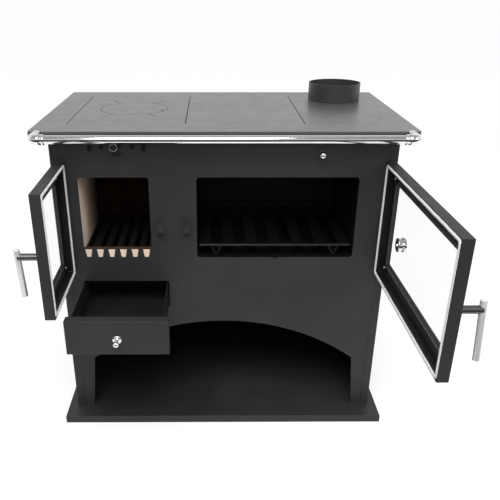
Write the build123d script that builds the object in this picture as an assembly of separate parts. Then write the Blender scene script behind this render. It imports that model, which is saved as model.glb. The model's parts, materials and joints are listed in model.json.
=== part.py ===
"""A wood-burning range cooker: firebox, oven, ash drawer, hob and an open niche below.

Millimetres. X is the width, Y the depth with the front at minus Y, and Z is up.
The origin is the centre of the underside of the base plate, on the floor.
"""
from build123d import *
import math
import os

# Slack for round ends and for finding edges by place
round_slack = 0.001
touch = 0.01

# Base plate, a folded tray with its open side down
base_width = 825.0
base_depth = 536.0
base_height = 20.0
base_toe = 56.0
base_sheet = 3.0
base_edge_round = 1.5
stiffener_width = 80.0
stiffener_sheet = 2.0

# Body
body_width = 782.0
body_sheet = 2.0
front_return = 20.5
panel_seam = 0.4
body_corner_round = 1.5
niche_ceiling = 290.0
divider_x = -131.0
divider_sheet = 3.0

# Hob
hob_width = 850.0
hob_depth = 544.4
hob_overhang = 32.7
hob_height = 748.3
hob_sheet = 4.0
hob_corner = 5.0
rim_height = 11.4
rim_sheet = 4.0
rim_flange = 50.0
slit_width = 1.8
slit_dot_radius = 1.9
slit_front = 52.0
slit_rear = 434.0
slit_places = (-356.0, -88.0, 183.4)
lid_x = -223.0
lid_depth = 247.0
lid_radius = 84.0
lid_clearance = 0.7
lid_seat_overlap = 10.0
lid_seat_rim = 12.0
lid_seat_sheet = 3.0
ray_angles = (60.0, 120.0, 240.0, 300.0)
ray_start = 3.0
ray_length = 42.0
lift_slot_angle = -20.0
lift_slot_inset = 5.0
lift_slot_length = 11.0
lift_slot_width = 6.0
disc_x = 304.0
disc_depth = 117.0
disc_radius = 65.0
disc_clearance = 0.4
clamp_overlap = 15.0
clamp_width = 25.0
clamp_sheet = 3.0
clamp_bolt_radius = 4.0
clamp_bolt_length = 12.0
flue_x = 300.9
flue_depth = 382.8
flue_radius = 68.25
flue_wall = 2.0
flue_height = 44.9
flue_flange = 4.7
flue_flange_sheet = 2.0

# Towel rail
rail_radius = 9.0
rail_wall = 1.0
rail_reach = 43.3
rail_drop = 7.9
rail_end = 400.0
sleeve_radius = 11.2
sleeve_start = 380.0
sleeve_bore_clearance = 0.05
elbow_x = 404.8
groove_width = 1.5
groove_depth = 0.8
groove_inset = 4.0

# Fire opening, its comb and its bricks
fire_left = -333.5
fire_right = -172.5
fire_top = 639.3
fire_corner = 7.0
comb_top = 467.2
comb_bottom = 443.7
comb_count = 6
comb_pitch = 27.6
comb_first_x = -322.8
comb_slot_top = 17.5
comb_slot_bottom = 11.0
brick_thickness = 30.0
front_brick_thickness = 18.0
brick_reveal_left = 2.0
brick_reveal_right = 5.5
brick_top = 640.0
firebox_depth = 283.0
firebox_sheet = 3.0
grate_top = 459.5
grate_thickness = 14.0
grate_clearance = 1.0
grate_slot_width = 13.0
grate_frame = 14.0
front_brick_top = 465.0
ash_hole_side = 22.0
chute_sheet = 1.5
chute_bottom = 394.0

# Oven opening, box and shelf
oven_left = -63.6
oven_right = 308.6
oven_bottom = 444.8
oven_top = 639.6
oven_corner = 8.0
oven_depth = 320.0
oven_sheet = 1.5
oven_lip = 12.0
dimple_x = 123.5
dimple_radius = 4.5
shelf_clearance = 5.5
shelf_front = 11.0
shelf_rear = 312.0
shelf_bar_radius = 3.25
shelf_bar_z = 472.7
shelf_sheet = 2.0
shelf_slat = 27.8
shelf_slot_count = 6
shelf_slot_front = 24.0
shelf_slot_rear = 300.0
shelf_lip = 10.0
foot_wire_radius = 2.0
foot_spread = 12.0
foot_inset = 40.0

# Ash drawer
drawer_left = -341.6
drawer_right = -133.7
drawer_opening_bottom = 312.0
drawer_opening_top = 383.0
drawer_corner = 3.0
drawer_front_left = -347.6
drawer_front_right = -121.7
drawer_front_bottom = 306.7
drawer_front_top = 388.0
drawer_front_fold = 24.5
drawer_gap = 0.5
drawer_sheet = 1.5
drawer_edge_round = 1.2
drawer_side_gap = 3.0
drawer_box_top = 380.0
drawer_box_length = 320.0
drawer_travel = 200.0
runner_width = 20.0
runner_height = 24.4
runner_sheet = 1.5
runner_length = 330.0
drawer_knob_radius = 7.0
drawer_knob_reach = 21.0
drawer_knob_stem = 3.0
drawer_knob_drop = 3.4
drawer_rosette_radius = 10.0
drawer_rosette_height = 2.0

# Arched niche opening
arch_half = 333.5
arch_foot_half = 345.5
arch_spring = 165.0
arch_top = 273.4

# Air control above the fire door
air_slot_width = 10.0
air_slot_top = 727.0
air_slots = ((-300.2, 698.0), (-274.0, 702.0), (-205.5, 702.0), (-179.7, 698.0))
air_knob_x = -244.5
air_knob_z = 711.0
air_knob_radius = 9.0
air_knob_reach = 20.0
air_knob_face = 8.0
air_stem_radius = 3.0
air_stem_clearance = 0.5
air_knob_round = 1.6
air_stem_overlap = 1.0
air_travel = 13.0
air_slide_sheet = 2.0
air_slide_margin = 9.0
air_slide_gap = 0.3
air_guide_sheet = 3.0
dash_x = -238.9
dash_z = 692.0
dash_length = 24.5
dash_width = 3.0
dash_slant = 5.2

# Damper in the flue path above the oven
damper_x = 217.8
damper_z = 694.0
damper_ball_radius = 8.0
damper_ball_reach = 20.0
damper_rod_radius = 4.0
running_clearance = 0.05
rosette_radius = 9.0
rosette_sheet = 3.0
bush_radius = 5.5
bush_length = 10.0
baffle_depth = 330.0
baffle_sheet = 2.0
baffle_foot = 18.0
damper_hole_radius = 37.0
damper_plate_radius = 42.0
damper_plate_sheet = 3.0
damper_travel = 60.0
guide_clearance = 64.0
guide_width = 24.0
guide_above_rod = 12.0

# Doors, all sizes common to both
door_bottom = 404.3
door_top = 674.6
door_thickness = 22.6
door_standoff = 3.0
door_sheet = 2.0
door_edge_round = 1.2
window_margin = 43.0
window_corner = 4.0
glass_margin = 32.0
glass_thickness = 4.0
channel_floor = 4.8
channel_sheet = 1.5
gasket_width = 7.0
gasket_thickness = 6.0
gasket_round = 2.9
gasket_corner = 9.0
lip_sheet = 1.2
lip_height = 2.0
clip_centre = 28.0
clip_size = 15.0
clip_sheet = 1.5
clip_boss_radius = 3.5
screw_radius = 2.0
screw_head_radius = 3.6
screw_head_height = 2.4
screw_head_round = 1.4
screw_clearance = 0.05

# Hinges
hinge_inset = 5.0
hinge_depth = 8.0
hinge_pin_radius = 2.25
hinge_pin_length = 12.0
hinge_pin_tip = 1.0
hinge_pin_head = 3.6
hinge_pin_head_height = 1.5
hinge_gap = 0.4
bracket_sheet = 3.0
bracket_half_width = 8.0
bearing_wall = 4.0

# Handles and latches
post_radius = 7.5
post_gap = 0.3
bar_radius = 6.5
bar_reach = 43.0
bar_above = 17.0
bar_below = 94.0
bar_end_round = 1.0
spindle_radius = 4.0
boss_radius = 7.0
boss_length = 8.6
tongue_sheet = 3.0
tongue_half_width = 6.0
tongue_drop = 23.0
tongue_gap = 0.3
nut_height = 3.0
nut_across = 12.0
keeper_width = 16.0
keeper_height = 20.0
keeper_top = 532.2
keeper_reach = 18.0
keeper_sheet = 2.5

# The two doors: hinge edge, width, handle inset from the free edge, pose in the photograph
fire_hinge_x = -372.5
fire_width = 243.0
fire_post_inset = 19.0
fire_open_angle = 89.1
fire_bar_tilt = 8.5
oven_hinge_x = 378.6
oven_width = 486.0
oven_post_inset = 20.0
oven_open_angle = 90.6
oven_bar_tilt = -8.5

# Oven thermometer, set through the oven glass
gauge_from_hinge = 125.0
gauge_z = 526.0
gauge_radius = 16.0
gauge_bezel = 1.5
gauge_bezel_round = 0.6
gauge_front = 5.0
gauge_dial_sheet = 1.0
gauge_dial_depth = 2.5
gauge_neck_radius = 8.0
gauge_glass_clearance = 0.5
gauge_rear_radius = 15.5
gauge_rear_height = 8.7
gauge_rear_round = 1.5
gauge_stem_radius = 3.0
gauge_stem_length = 2.0
pointer_length = 10.5
pointer_tail = 3.5
pointer_half_width = 0.9
pointer_sheet = 0.6
pointer_hub_radius = 2.0
pointer_gap = 0.3
pointer_pin_radius = 1.0

# Derived planes
body_half = body_width / 2
front_y = -base_depth / 2 + base_toe
rear_y = base_depth / 2
plate_bottom = hob_height - hob_sheet
body_top = plate_bottom - rim_sheet
rim_bottom = plate_bottom - rim_height
hob_front_y = front_y - hob_overhang
panel_half = body_half - front_return - panel_seam
inner_half = body_half - body_sheet
rear_inner_y = rear_y - body_sheet
grate_floor = grate_top - grate_thickness
brick_left_face = fire_left - brick_reveal_left
brick_right_face = fire_right + brick_reveal_right
oven_outer_top = oven_top + oven_sheet
door_mid_z = (door_bottom + door_top) / 2
pivot_depth = -door_standoff - hinge_depth
skin_depth = -door_standoff - door_thickness
drawer_closed_depth = -drawer_front_fold - drawer_gap
drawer_bottom = niche_ceiling + runner_height

nodes = {}


def at_depth(depth):
    """Y of a plane that lies this far behind the face of the front panel."""
    return front_y + depth


def block(x0, x1, y0, y1, z0, z1):
    """Box between two opposite corners."""
    centre = Pos((x0 + x1) / 2, (y0 + y1) / 2, (z0 + z1) / 2)
    return centre * Box(x1 - x0, y1 - y0, z1 - z0)


def rod(start, end, radius):
    """Round bar from one point to another."""
    start, end = Vector(*start), Vector(*end)
    reach = end - start
    return Solid.make_cylinder(radius, reach.length, Plane(origin=start, z_dir=reach))


def facing(x, y, z):
    """Plane seen from the front: its own X is X, its own Y is Z, and it faces minus Y."""
    return Plane(origin=(x, y, z), x_dir=(1, 0, 0), z_dir=(0, -1, 0))


def slab(outline, y0, y1):
    """Outline drawn as seen from the front, given thickness from y0 back to y1."""
    return extrude(facing(0, y1, 0) * outline, y1 - y0)


def rounded(x0, x1, z0, z1, radius):
    """Rounded rectangle as seen from the front."""
    return Pos((x0 + x1) / 2, (z0 + z1) / 2) * RectangleRounded(x1 - x0, z1 - z0, radius)


def sheet_plate(x0, x1, y0, y1, z0, z1, corner):
    """Flat plate with rounded corners as seen from above."""
    outline = Pos((x0 + x1) / 2, (y0 + y1) / 2) * RectangleRounded(x1 - x0, y1 - y0, corner)
    return extrude(Pos(0, 0, z0) * outline, z1 - z0)


def group(*solids):
    """Separate solids that share one node."""
    return Compound(children=list(solids))


# Base


def base_plate():
    """Folded tray, open below."""
    half_x, half_y = base_width / 2, base_depth / 2
    tray = block(-half_x, half_x, -half_y, half_y, 0, base_height)
    tray = fillet(tray.edges().group_by(Axis.Z)[-1], base_edge_round)
    in_x, in_y = half_x - base_sheet, half_y - base_sheet
    return tray - block(-in_x, in_x, -in_y, in_y, 0, base_height - base_sheet)


def base_stiffener():
    """Channel under the tray, its web flat on the floor."""
    half_x = base_width / 2 - base_sheet
    half_y = stiffener_width / 2
    top = base_height - base_sheet
    channel = block(-half_x, half_x, -half_y, half_y, 0, top)
    in_y = half_y - stiffener_sheet
    return channel - block(-half_x, half_x, -in_y, in_y, stiffener_sheet, top)


# Body


def side_panel(side):
    """Side sheet with its front return fold; side is -1 for the left and 1 for the right."""
    x0, x1 = sorted((side * body_half, side * inner_half))
    web = block(x0, x1, front_y, rear_y, base_height, body_top)
    f0, f1 = sorted((side * body_half, side * (body_half - front_return)))
    fold = block(f0, f1, front_y, front_y + body_sheet, base_height, body_top)
    panel = web + fold
    corner = panel.edges().filter_by(Axis.Z).filter_by(
        lambda e: abs(e.center().Y - front_y) < touch and abs(abs(e.center().X) - body_half) < touch)
    return fillet(corner, body_corner_round)


def comb_slot(x):
    """One tapered slot of the comb under the fire opening, with a round foot."""
    foot_radius = comb_slot_bottom / 2
    foot_z = comb_bottom + foot_radius
    half_top = comb_slot_top / 2
    over = fire_corner
    taper = make_face(Polyline(
        (x - half_top, comb_top + over), (x - half_top, comb_top), (x - foot_radius, foot_z),
        (x + foot_radius, foot_z), (x + half_top, comb_top), (x + half_top, comb_top + over), close=True))
    return taper + Pos(x, foot_z) * Circle(foot_radius)


def arch_opening():
    """Arch over the niche, with legs that widen a little towards the floor."""
    crown = ThreePointArc((-arch_half, arch_spring), (0, arch_top), (arch_half, arch_spring))
    legs = Polyline((arch_half, arch_spring), (arch_foot_half, base_height),
                    (-arch_foot_half, base_height), (-arch_half, arch_spring))
    return make_face([crown] + list(legs.edges()))


def upright_slot(x, z0, z1, width):
    """Vertical slot with round ends."""
    return rounded(x - width / 2, x + width / 2, z0, z1, width / 2 - round_slack)


def air_slide_box():
    """Outline of the air slide: left, right, bottom and top."""
    left = air_slots[0][0] - air_slot_width / 2 - air_slide_margin - air_travel
    right = air_slots[-1][0] + air_slot_width / 2 + air_slide_margin
    bottom = min(z for _, z in air_slots) - air_slide_margin / 2
    return left, right, bottom, air_slot_top + air_slide_margin / 2


def front_panel():
    """Front sheet with every opening, and the two strips that guide the air slide."""
    outline = Pos(0, (base_height + body_top) / 2) * Rectangle(2 * panel_half, body_top - base_height)
    outline -= rounded(fire_left, fire_right, comb_top, fire_top, fire_corner)
    for k in range(comb_count):
        outline -= comb_slot(comb_first_x + k * comb_pitch)
    outline -= rounded(oven_left, oven_right, oven_bottom, oven_top, oven_corner)
    outline -= Pos(dimple_x, oven_bottom) * Circle(dimple_radius)
    outline -= rounded(drawer_left, drawer_right, drawer_opening_bottom, drawer_opening_top, drawer_corner)
    outline -= arch_opening()
    for x, bottom in air_slots:
        outline -= upright_slot(x, bottom, air_slot_top, air_slot_width)
    stem = air_stem_radius + air_stem_clearance
    outline -= rounded(air_knob_x - stem, air_knob_x + air_travel + stem,
                       air_knob_z - stem, air_knob_z + stem, stem - round_slack)
    dash = SlotOverall(dash_length, dash_width)
    outline -= Pos(dash_x, dash_z) * Rot(0, 0, dash_slant) * dash
    outline -= Pos(damper_x, damper_z) * Circle(bush_radius)
    panel = slab(outline, front_y, front_y + body_sheet)
    left, right, bottom, top = air_slide_box()
    guide_y = front_y + body_sheet + air_slide_gap + air_slide_sheet
    lower = bottom - air_slide_gap
    upper = top + air_slide_gap
    panel += block(left, right, front_y + body_sheet, guide_y, lower - air_guide_sheet, lower)
    panel += block(left, right, front_y + body_sheet, guide_y, upper, upper + air_guide_sheet)
    return panel


def back_panel():
    """Rear sheet between the side panels."""
    return block(-inner_half, inner_half, rear_inner_y, rear_y, base_height, body_top)


def floor_pan():
    """Ceiling of the niche and floor of the ash and flue spaces."""
    return block(-inner_half, inner_half, front_y + body_sheet, rear_inner_y,
                 niche_ceiling - body_sheet, niche_ceiling)


def divider_plate():
    """Upright sheet between the fire side and the oven side."""
    return block(divider_x, divider_x + divider_sheet, front_y + body_sheet, rear_inner_y,
                 niche_ceiling, brick_top)


# Hob


def hob_frame():
    """Angle ring around the body top; the cooking plate rests on its flange."""
    half, y0, y1 = hob_width / 2, hob_front_y, hob_front_y + hob_depth
    ring = sheet_plate(-half, half, y0, y1, rim_bottom, plate_bottom, hob_corner)
    ring -= block(-half + rim_sheet, half - rim_sheet, y0 + rim_sheet, y1 - rim_sheet, rim_bottom, body_top)
    return ring - block(-half + rim_flange, half - rim_flange, y0 + rim_flange, y1 - rim_flange,
                        rim_bottom, plate_bottom)


def slit(start, end):
    """Thin cut through the plate with a small round hole at each end."""
    start, end = Vector(*start), Vector(*end)
    reach = end - start
    turn = math.degrees(math.atan2(reach.Y, reach.X))
    middle = (start + end) / 2
    cut = Pos(middle.X, middle.Y) * Rot(0, 0, turn) * Rectangle(reach.length, slit_width)
    for point in (start, end):
        cut += Pos(point.X, point.Y) * Circle(slit_dot_radius)
    return cut


def hob_plate():
    """Cooking plate with its slits, the lid hole, the blanked hole and the flue hole."""
    half, y0, y1 = hob_width / 2, hob_front_y, hob_front_y + hob_depth
    outline = Pos(0, (y0 + y1) / 2) * RectangleRounded(hob_width, hob_depth, hob_corner)
    for x in slit_places:
        outline -= slit((x, at_depth(slit_front)), (x, at_depth(slit_rear)))
    lid_centre = Vector(lid_x, at_depth(lid_depth))
    outline -= Pos(lid_centre.X, lid_centre.Y) * Circle(lid_radius + lid_clearance)
    for angle in ray_angles:
        ray = Vector(1, 0).rotate(Axis.Z, angle)
        start = lid_centre + ray * (lid_radius + ray_start)
        outline -= slit(tuple(start), tuple(start + ray * ray_length))
    outline -= Pos(disc_x, at_depth(disc_depth)) * Circle(disc_radius)
    outline -= Pos(flue_x, at_depth(flue_depth)) * Circle(flue_radius)
    return extrude(Pos(0, 0, plate_bottom) * outline, hob_sheet)


def hob_lid():
    """Loose round lid with a slot for the lifting tool."""
    centre = (lid_x, at_depth(lid_depth))
    disc = Pos(*centre, plate_bottom + hob_sheet / 2) * Cylinder(lid_radius, hob_sheet)
    slot_radius = lid_radius - lift_slot_inset - lift_slot_width / 2
    slot = Pos(slot_radius, 0) * Rot(0, 0, 90) * SlotOverall(lift_slot_length, lift_slot_width)
    cut = extrude(Pos(*centre, plate_bottom) * Rot(0, 0, lift_slot_angle) * slot, hob_sheet)
    return disc - cut


def lid_seat_ring():
    """Ring under the plate that carries the lid."""
    centre = Pos(lid_x, at_depth(lid_depth), plate_bottom - lid_seat_sheet / 2)
    return centre * (Cylinder(lid_radius + lid_seat_rim, lid_seat_sheet)
                     - Cylinder(lid_radius - lid_seat_overlap, lid_seat_sheet))


def flue_blanking_disc():
    """Flush disc over the spare flue hole, with the bar and bolt that clamp it from below."""
    y = at_depth(disc_depth)
    disc = Pos(disc_x, y, plate_bottom + hob_sheet / 2) * Cylinder(disc_radius - disc_clearance, hob_sheet)
    half = disc_radius + clamp_overlap
    bar = block(disc_x - clamp_width / 2, disc_x + clamp_width / 2, y - half, y + half,
                plate_bottom - clamp_sheet, plate_bottom)
    bolt_top = plate_bottom - clamp_sheet
    bolt = rod((disc_x, y, bolt_top - clamp_bolt_length), (disc_x, y, bolt_top), clamp_bolt_radius)
    return group(disc, bar + bolt)


def flue_collar():
    """Collar for the flue pipe, with a flange that grips the plate from below."""
    y = at_depth(flue_depth)
    bottom = plate_bottom - flue_flange_sheet
    top = hob_height + flue_height
    outside = rod((flue_x, y, bottom), (flue_x, y, top), flue_radius)
    outside += rod((flue_x, y, bottom), (flue_x, y, plate_bottom), flue_radius + flue_flange)
    return outside - rod((flue_x, y, bottom), (flue_x, y, top), flue_radius - flue_wall)


# Towel rail


def rail_line():
    """Y and Z of the rail's axis."""
    return hob_front_y - rail_reach, hob_height - rail_drop


def rail_tube():
    """Chrome tube across the front."""
    y, z = rail_line()
    tube = rod((-rail_end, y, z), (rail_end, y, z), rail_radius)
    return tube - rod((-rail_end, y, z), (rail_end, y, z), rail_radius - rail_wall)


def rail_bracket(side):
    """End bracket: a sleeve round the rail, a ball elbow and an arm back to the hob rim."""
    y, z = rail_line()
    body = rod((side * sleeve_start, y, z), (side * elbow_x, y, z), sleeve_radius)
    body += Pos(side * elbow_x, y, z) * Sphere(sleeve_radius)
    body += rod((side * elbow_x, y, z), (side * elbow_x, hob_front_y, z), sleeve_radius)
    groove_x = side * (sleeve_start + groove_inset)
    ring = rod((groove_x, y, z), (groove_x + side * groove_width, y, z), sleeve_radius + groove_depth)
    ring -= rod((groove_x, y, z), (groove_x + side * groove_width, y, z), sleeve_radius - groove_depth)
    body -= ring
    bore = rail_radius + sleeve_bore_clearance
    return body - rod((side * sleeve_start, y, z), (side * rail_end, y, z), bore)


# Firebox


def firebox_span():
    """Inner left and right of the firebox shell, where the bricks stand."""
    return brick_left_face - brick_thickness, brick_right_face + brick_thickness


def ash_hole():
    """Left, right, front and rear of the hole that ash falls through."""
    return (brick_left_face + ash_hole_side, brick_right_face - ash_hole_side,
            at_depth(2 * ash_hole_side), at_depth(firebox_depth - ash_hole_side))


def firebox_shell():
    """Open-topped liner behind the front panel; its floor has the ash hole."""
    left, right = firebox_span()
    y0, y1 = front_y + body_sheet, at_depth(firebox_depth) + brick_thickness
    t = firebox_sheet
    shell = block(left - t, right + t, y0, y1 + t, grate_floor - t, brick_top)
    shell -= block(left, right, y0, y1, grate_floor, brick_top)
    hx0, hx1, hy0, hy1 = ash_hole()
    return shell - block(hx0, hx1, hy0, hy1, grate_floor - t, grate_floor)


def firebrick_side(x0, x1):
    """Upright brick along one side of the fire, from the front panel to the rear of the shell."""
    return block(x0, x1, front_y + body_sheet, at_depth(firebox_depth) + brick_thickness,
                 grate_floor, brick_top)


def firebrick_back():
    """Rear brick between the two side bricks."""
    return block(brick_left_face, brick_right_face, at_depth(firebox_depth),
                 at_depth(firebox_depth) + brick_thickness, grate_floor, brick_top)


def firebrick_front():
    """Low brick behind the comb, in front of the grate."""
    return block(brick_left_face, brick_right_face, front_y + body_sheet,
                 front_y + body_sheet + front_brick_thickness, grate_floor, front_brick_top)


def grate():
    """Cast grate with long slots from front to back, in line with the comb."""
    x0, x1 = brick_left_face + grate_clearance, brick_right_face - grate_clearance
    y0 = front_y + body_sheet + front_brick_thickness + grate_clearance
    y1 = at_depth(firebox_depth) - grate_clearance
    casting = block(x0, x1, y0, y1, grate_floor, grate_top)
    for k in range(comb_count):
        x = comb_first_x + k * comb_pitch
        slot = sheet_plate(x - grate_slot_width / 2, x + grate_slot_width / 2, y0 + grate_frame,
                           y1 - grate_frame, grate_floor, grate_top, grate_slot_width / 2 - round_slack)
        casting -= slot
    return casting


def ash_chute():
    """Square chute from the ash hole down to just above the drawer."""
    hx0, hx1, hy0, hy1 = ash_hole()
    top = grate_floor - firebox_sheet
    t = chute_sheet
    return (block(hx0 - t, hx1 + t, hy0 - t, hy1 + t, chute_bottom, top)
            - block(hx0, hx1, hy0, hy1, chute_bottom, top))


# Oven


def oven_box():
    """Oven cavity, open at the front, with a lip against the front panel."""
    y0, y1 = front_y + body_sheet, at_depth(oven_depth)
    t = oven_sheet
    box = block(oven_left - t, oven_right + t, y0, y1 + t, oven_bottom - t, oven_top + t)
    lip = oven_lip
    box += block(oven_left - lip, oven_right + lip, y0, y0 + t, oven_bottom - lip, oven_top + lip)
    cavity = block(oven_left, oven_right, y0, y1, oven_bottom, oven_top)
    return box - cavity


def shelf_foot(x, y, strip):
    """Wire bent into a V, its point on the oven floor and its ends cut to the strip above."""
    tip = (x, y, oven_bottom + foot_wire_radius)
    top = shelf_bar_z - shelf_sheet / 2
    foot = rod(tip, (x - foot_spread, y, top), foot_wire_radius)
    foot += rod(tip, (x + foot_spread, y, top), foot_wire_radius)
    foot += Pos(*tip) * Sphere(foot_wire_radius)
    reach = foot_spread + 2 * foot_wire_radius
    foot -= block(x - reach, x + reach, y - reach, y + reach, top, top + reach)
    return foot - strip


def oven_shelf():
    """Slatted shelf of strips that meet edge to edge, with a round front bar, a rear lip and wire feet."""
    x0, x1 = oven_left + shelf_clearance, oven_right - shelf_clearance
    front, rear = at_depth(shelf_front), at_depth(shelf_rear)
    slot_front, slot_rear = at_depth(shelf_slot_front), at_depth(shelf_slot_rear)
    z0, z1 = shelf_bar_z - shelf_sheet / 2, shelf_bar_z + shelf_sheet / 2
    front_strip = block(x0, x1, front, slot_front, z0, z1)
    front_strip += rod((x0, front, shelf_bar_z), (x1, front, shelf_bar_z), shelf_bar_radius)
    rear_strip = block(x0, x1, slot_rear, rear, z0, z1)
    lip = block(x0, x1, rear - shelf_sheet, rear, z1, z1 + shelf_lip)
    pitch = (x1 - x0 - shelf_slat) / shelf_slot_count
    slats = []
    for k in range(shelf_slot_count + 1):
        start = x0 + k * pitch
        slats.append(block(start, start + shelf_slat, slot_front, slot_rear, z0, z1))
    feet = []
    for x in (x0 + foot_inset, x1 - foot_inset):
        feet.append(shelf_foot(x, front, front_strip))
        feet.append(shelf_foot(x, rear - shelf_sheet, rear_strip))
    return group(front_strip, rear_strip, lip, *slats, *feet)


# Ash drawer, drawn shut and then pulled out


def drawer_front():
    """Folded front with a flange on all four sides."""
    y0, y1 = at_depth(drawer_closed_depth), at_depth(-drawer_gap)
    face = block(drawer_front_left, drawer_front_right, y0, y1, drawer_front_bottom, drawer_front_top)
    face = fillet(face.edges().group_by(Axis.Y)[0] + face.edges().filter_by(Axis.Y), drawer_edge_round)
    t = drawer_sheet
    return face - block(drawer_front_left + t, drawer_front_right - t, y0 + t, y1,
                        drawer_front_bottom + t, drawer_front_top - t)


def drawer_box():
    """Ash box behind the front, open at the top."""
    x0, x1 = drawer_left + drawer_side_gap, drawer_right - drawer_side_gap
    y0 = at_depth(drawer_closed_depth) + drawer_sheet
    y1 = y0 + drawer_box_length
    t = drawer_sheet
    return (block(x0, x1, y0, y1, drawer_bottom, drawer_box_top)
            - block(x0 + t, x1 - t, y0 + t, y1 - t, drawer_bottom + t, drawer_box_top))


def round_knob(x, depth, z, ball, reach, stem, rosette, rosette_height):
    """Ball knob on a stem with a round foot plate, standing out towards the front."""
    y = at_depth(depth)
    knob = rod((x, y, z), (x, y - rosette_height, z), rosette)
    knob += rod((x, y, z), (x, y - reach, z), stem)
    return knob + Pos(x, y - reach, z) * Sphere(ball)


def drawer_knob():
    """Knob of the ash drawer."""
    x = (drawer_front_left + drawer_front_right) / 2
    z = (drawer_front_bottom + drawer_front_top) / 2 - drawer_knob_drop
    return round_knob(x, drawer_closed_depth, z, drawer_knob_radius, drawer_knob_reach,
                      drawer_knob_stem, drawer_rosette_radius, drawer_rosette_height)


def drawer_runners():
    """Two inverted channels on the floor pan that the drawer slides on."""
    y0, y1 = front_y + body_sheet, at_depth(runner_length)
    t = runner_sheet
    rails = []
    for x in (drawer_left + drawer_side_gap, drawer_right - drawer_side_gap - runner_width):
        rail = block(x, x + runner_width, y0, y1, niche_ceiling, drawer_bottom)
        rails.append(rail - block(x + t, x + runner_width - t, y0, y1, niche_ceiling, drawer_bottom - t))
    return group(*rails)


# Air and damper controls


def air_slide():
    """Slide behind the panel, shut at rest: its holes stand one travel to the left of the slots."""
    left, right, bottom, top = air_slide_box()
    outline = Pos((left + right) / 2, (bottom + top) / 2) * Rectangle(right - left, top - bottom)
    for x, slot_bottom in air_slots:
        outline -= upright_slot(x - air_travel, slot_bottom, air_slot_top, air_slot_width)
    y0 = front_y + body_sheet + air_slide_gap
    return slab(outline, y0, y0 + air_slide_sheet)


def air_knob():
    """Turned knob on a stem that passes through the panel to the slide."""
    y_slide = front_y + body_sheet + air_slide_gap
    y_face = at_depth(-air_knob_reach)
    knob = rod((air_knob_x, y_face, air_knob_z), (air_knob_x, y_face + air_knob_face, air_knob_z),
               air_knob_radius)
    knob = fillet(knob.edges(), air_knob_round)
    stem_start = (air_knob_x, y_face + air_stem_overlap, air_knob_z)
    return knob + rod(stem_start, (air_knob_x, y_slide, air_knob_z), air_stem_radius)


def damper_knob():
    """Ball on the end of the damper rod."""
    y = at_depth(-damper_ball_reach)
    ball = Pos(damper_x, y, damper_z) * Sphere(damper_ball_radius)
    return ball - rod((damper_x, y, damper_z), (damper_x, front_y, damper_z), damper_rod_radius)


def damper_rod():
    """Rod from the ball back to the damper plate."""
    return rod((damper_x, at_depth(-damper_ball_reach), damper_z),
               (damper_x, at_depth(baffle_depth - damper_plate_sheet), damper_z), damper_rod_radius)


def damper_plate():
    """Round plate that shuts the hole in the baffle."""
    y = at_depth(baffle_depth)
    return rod((damper_x, y - damper_plate_sheet, damper_z), (damper_x, y, damper_z), damper_plate_radius)


def damper_bushes():
    """Rosette bush in the front panel and the upright that guides the rod behind it."""
    hole = damper_rod_radius + running_clearance
    bush = rod((damper_x, at_depth(-rosette_sheet), damper_z), (damper_x, front_y, damper_z), rosette_radius)
    bush += rod((damper_x, front_y, damper_z), (damper_x, at_depth(bush_length), damper_z), bush_radius)
    bush -= rod((damper_x, at_depth(-rosette_sheet), damper_z),
                (damper_x, at_depth(bush_length), damper_z), hole)
    y = at_depth(baffle_depth - damper_plate_sheet - damper_travel - guide_clearance)
    guide = block(damper_x - guide_width / 2, damper_x + guide_width / 2, y, y + baffle_sheet,
                  oven_outer_top, damper_z + guide_above_rod)
    guide -= rod((damper_x, y, damper_z), (damper_x, y + baffle_sheet, damper_z), hole)
    return group(bush, guide)


def rear_baffle():
    """Upright sheet behind the oven, with the hole that the damper plate shuts."""
    y = at_depth(baffle_depth)
    baffle = block(divider_x + divider_sheet, inner_half, y, y + baffle_sheet, oven_outer_top, body_top)
    baffle += block(oven_left, oven_right, at_depth(baffle_depth - baffle_foot), y,
                    oven_outer_top, oven_outer_top + baffle_sheet)
    return baffle - rod((damper_x, y, damper_z), (damper_x, y + baffle_sheet, damper_z), damper_hole_radius)


# Doors, drawn shut and then swung to the pose of the photograph


class Door:
    """One door, described across its face from the hinge edge to the free edge."""

    def __init__(self, name, hinge_x, width, side, post_inset, open_angle, bar_tilt):
        self.name = name
        self.hinge_x = hinge_x
        self.width = width
        self.side = side
        self.post_inset = post_inset
        self.turn = side * open_angle
        self.bar_tilt = bar_tilt
        self.x0, self.x1 = sorted((hinge_x, self.across(width)))
        self.pivot_x = self.across(hinge_inset)
        self.post_x = self.across(width - post_inset)

    def across(self, distance):
        """X at this distance from the hinge edge."""
        return self.hinge_x - self.side * distance

    def ring(self, outer, inner, y0, y1, outer_corner=0.0, inner_corner=0.0):
        """Frame between two insets from the door's outline."""
        return self.plate(outer, y0, y1, outer_corner) - self.plate(inner, y0, y1, inner_corner)

    def plate(self, inset, y0, y1, corner=0.0):
        """Plate inset from the door's outline."""
        x0, x1 = self.x0 + inset, self.x1 - inset
        z0, z1 = door_bottom + inset, door_top - inset
        if corner > 0:
            return slab(rounded(x0, x1, z0, z1, corner), y0, y1)
        return block(x0, x1, y0, y1, z0, z1)

    def swing(self, shape):
        """Turn a piece about the hinge from shut to open."""
        pivot = Axis((self.pivot_x, at_depth(pivot_depth), 0), (0, 0, 1))
        return shape.rotate(pivot, self.turn)

    def swing_with_handle(self, shape):
        """Tilt a handle piece about its post, then swing it with the door."""
        post = Axis((self.post_x, front_y, door_mid_z), (0, 1, 0))
        return self.swing(shape.rotate(post, -self.side * self.bar_tilt))


def hinge_ends():
    """Z of the door's top and bottom edges with the way out of the door at each."""
    return ((door_top, 1), (door_bottom, -1))


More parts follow.
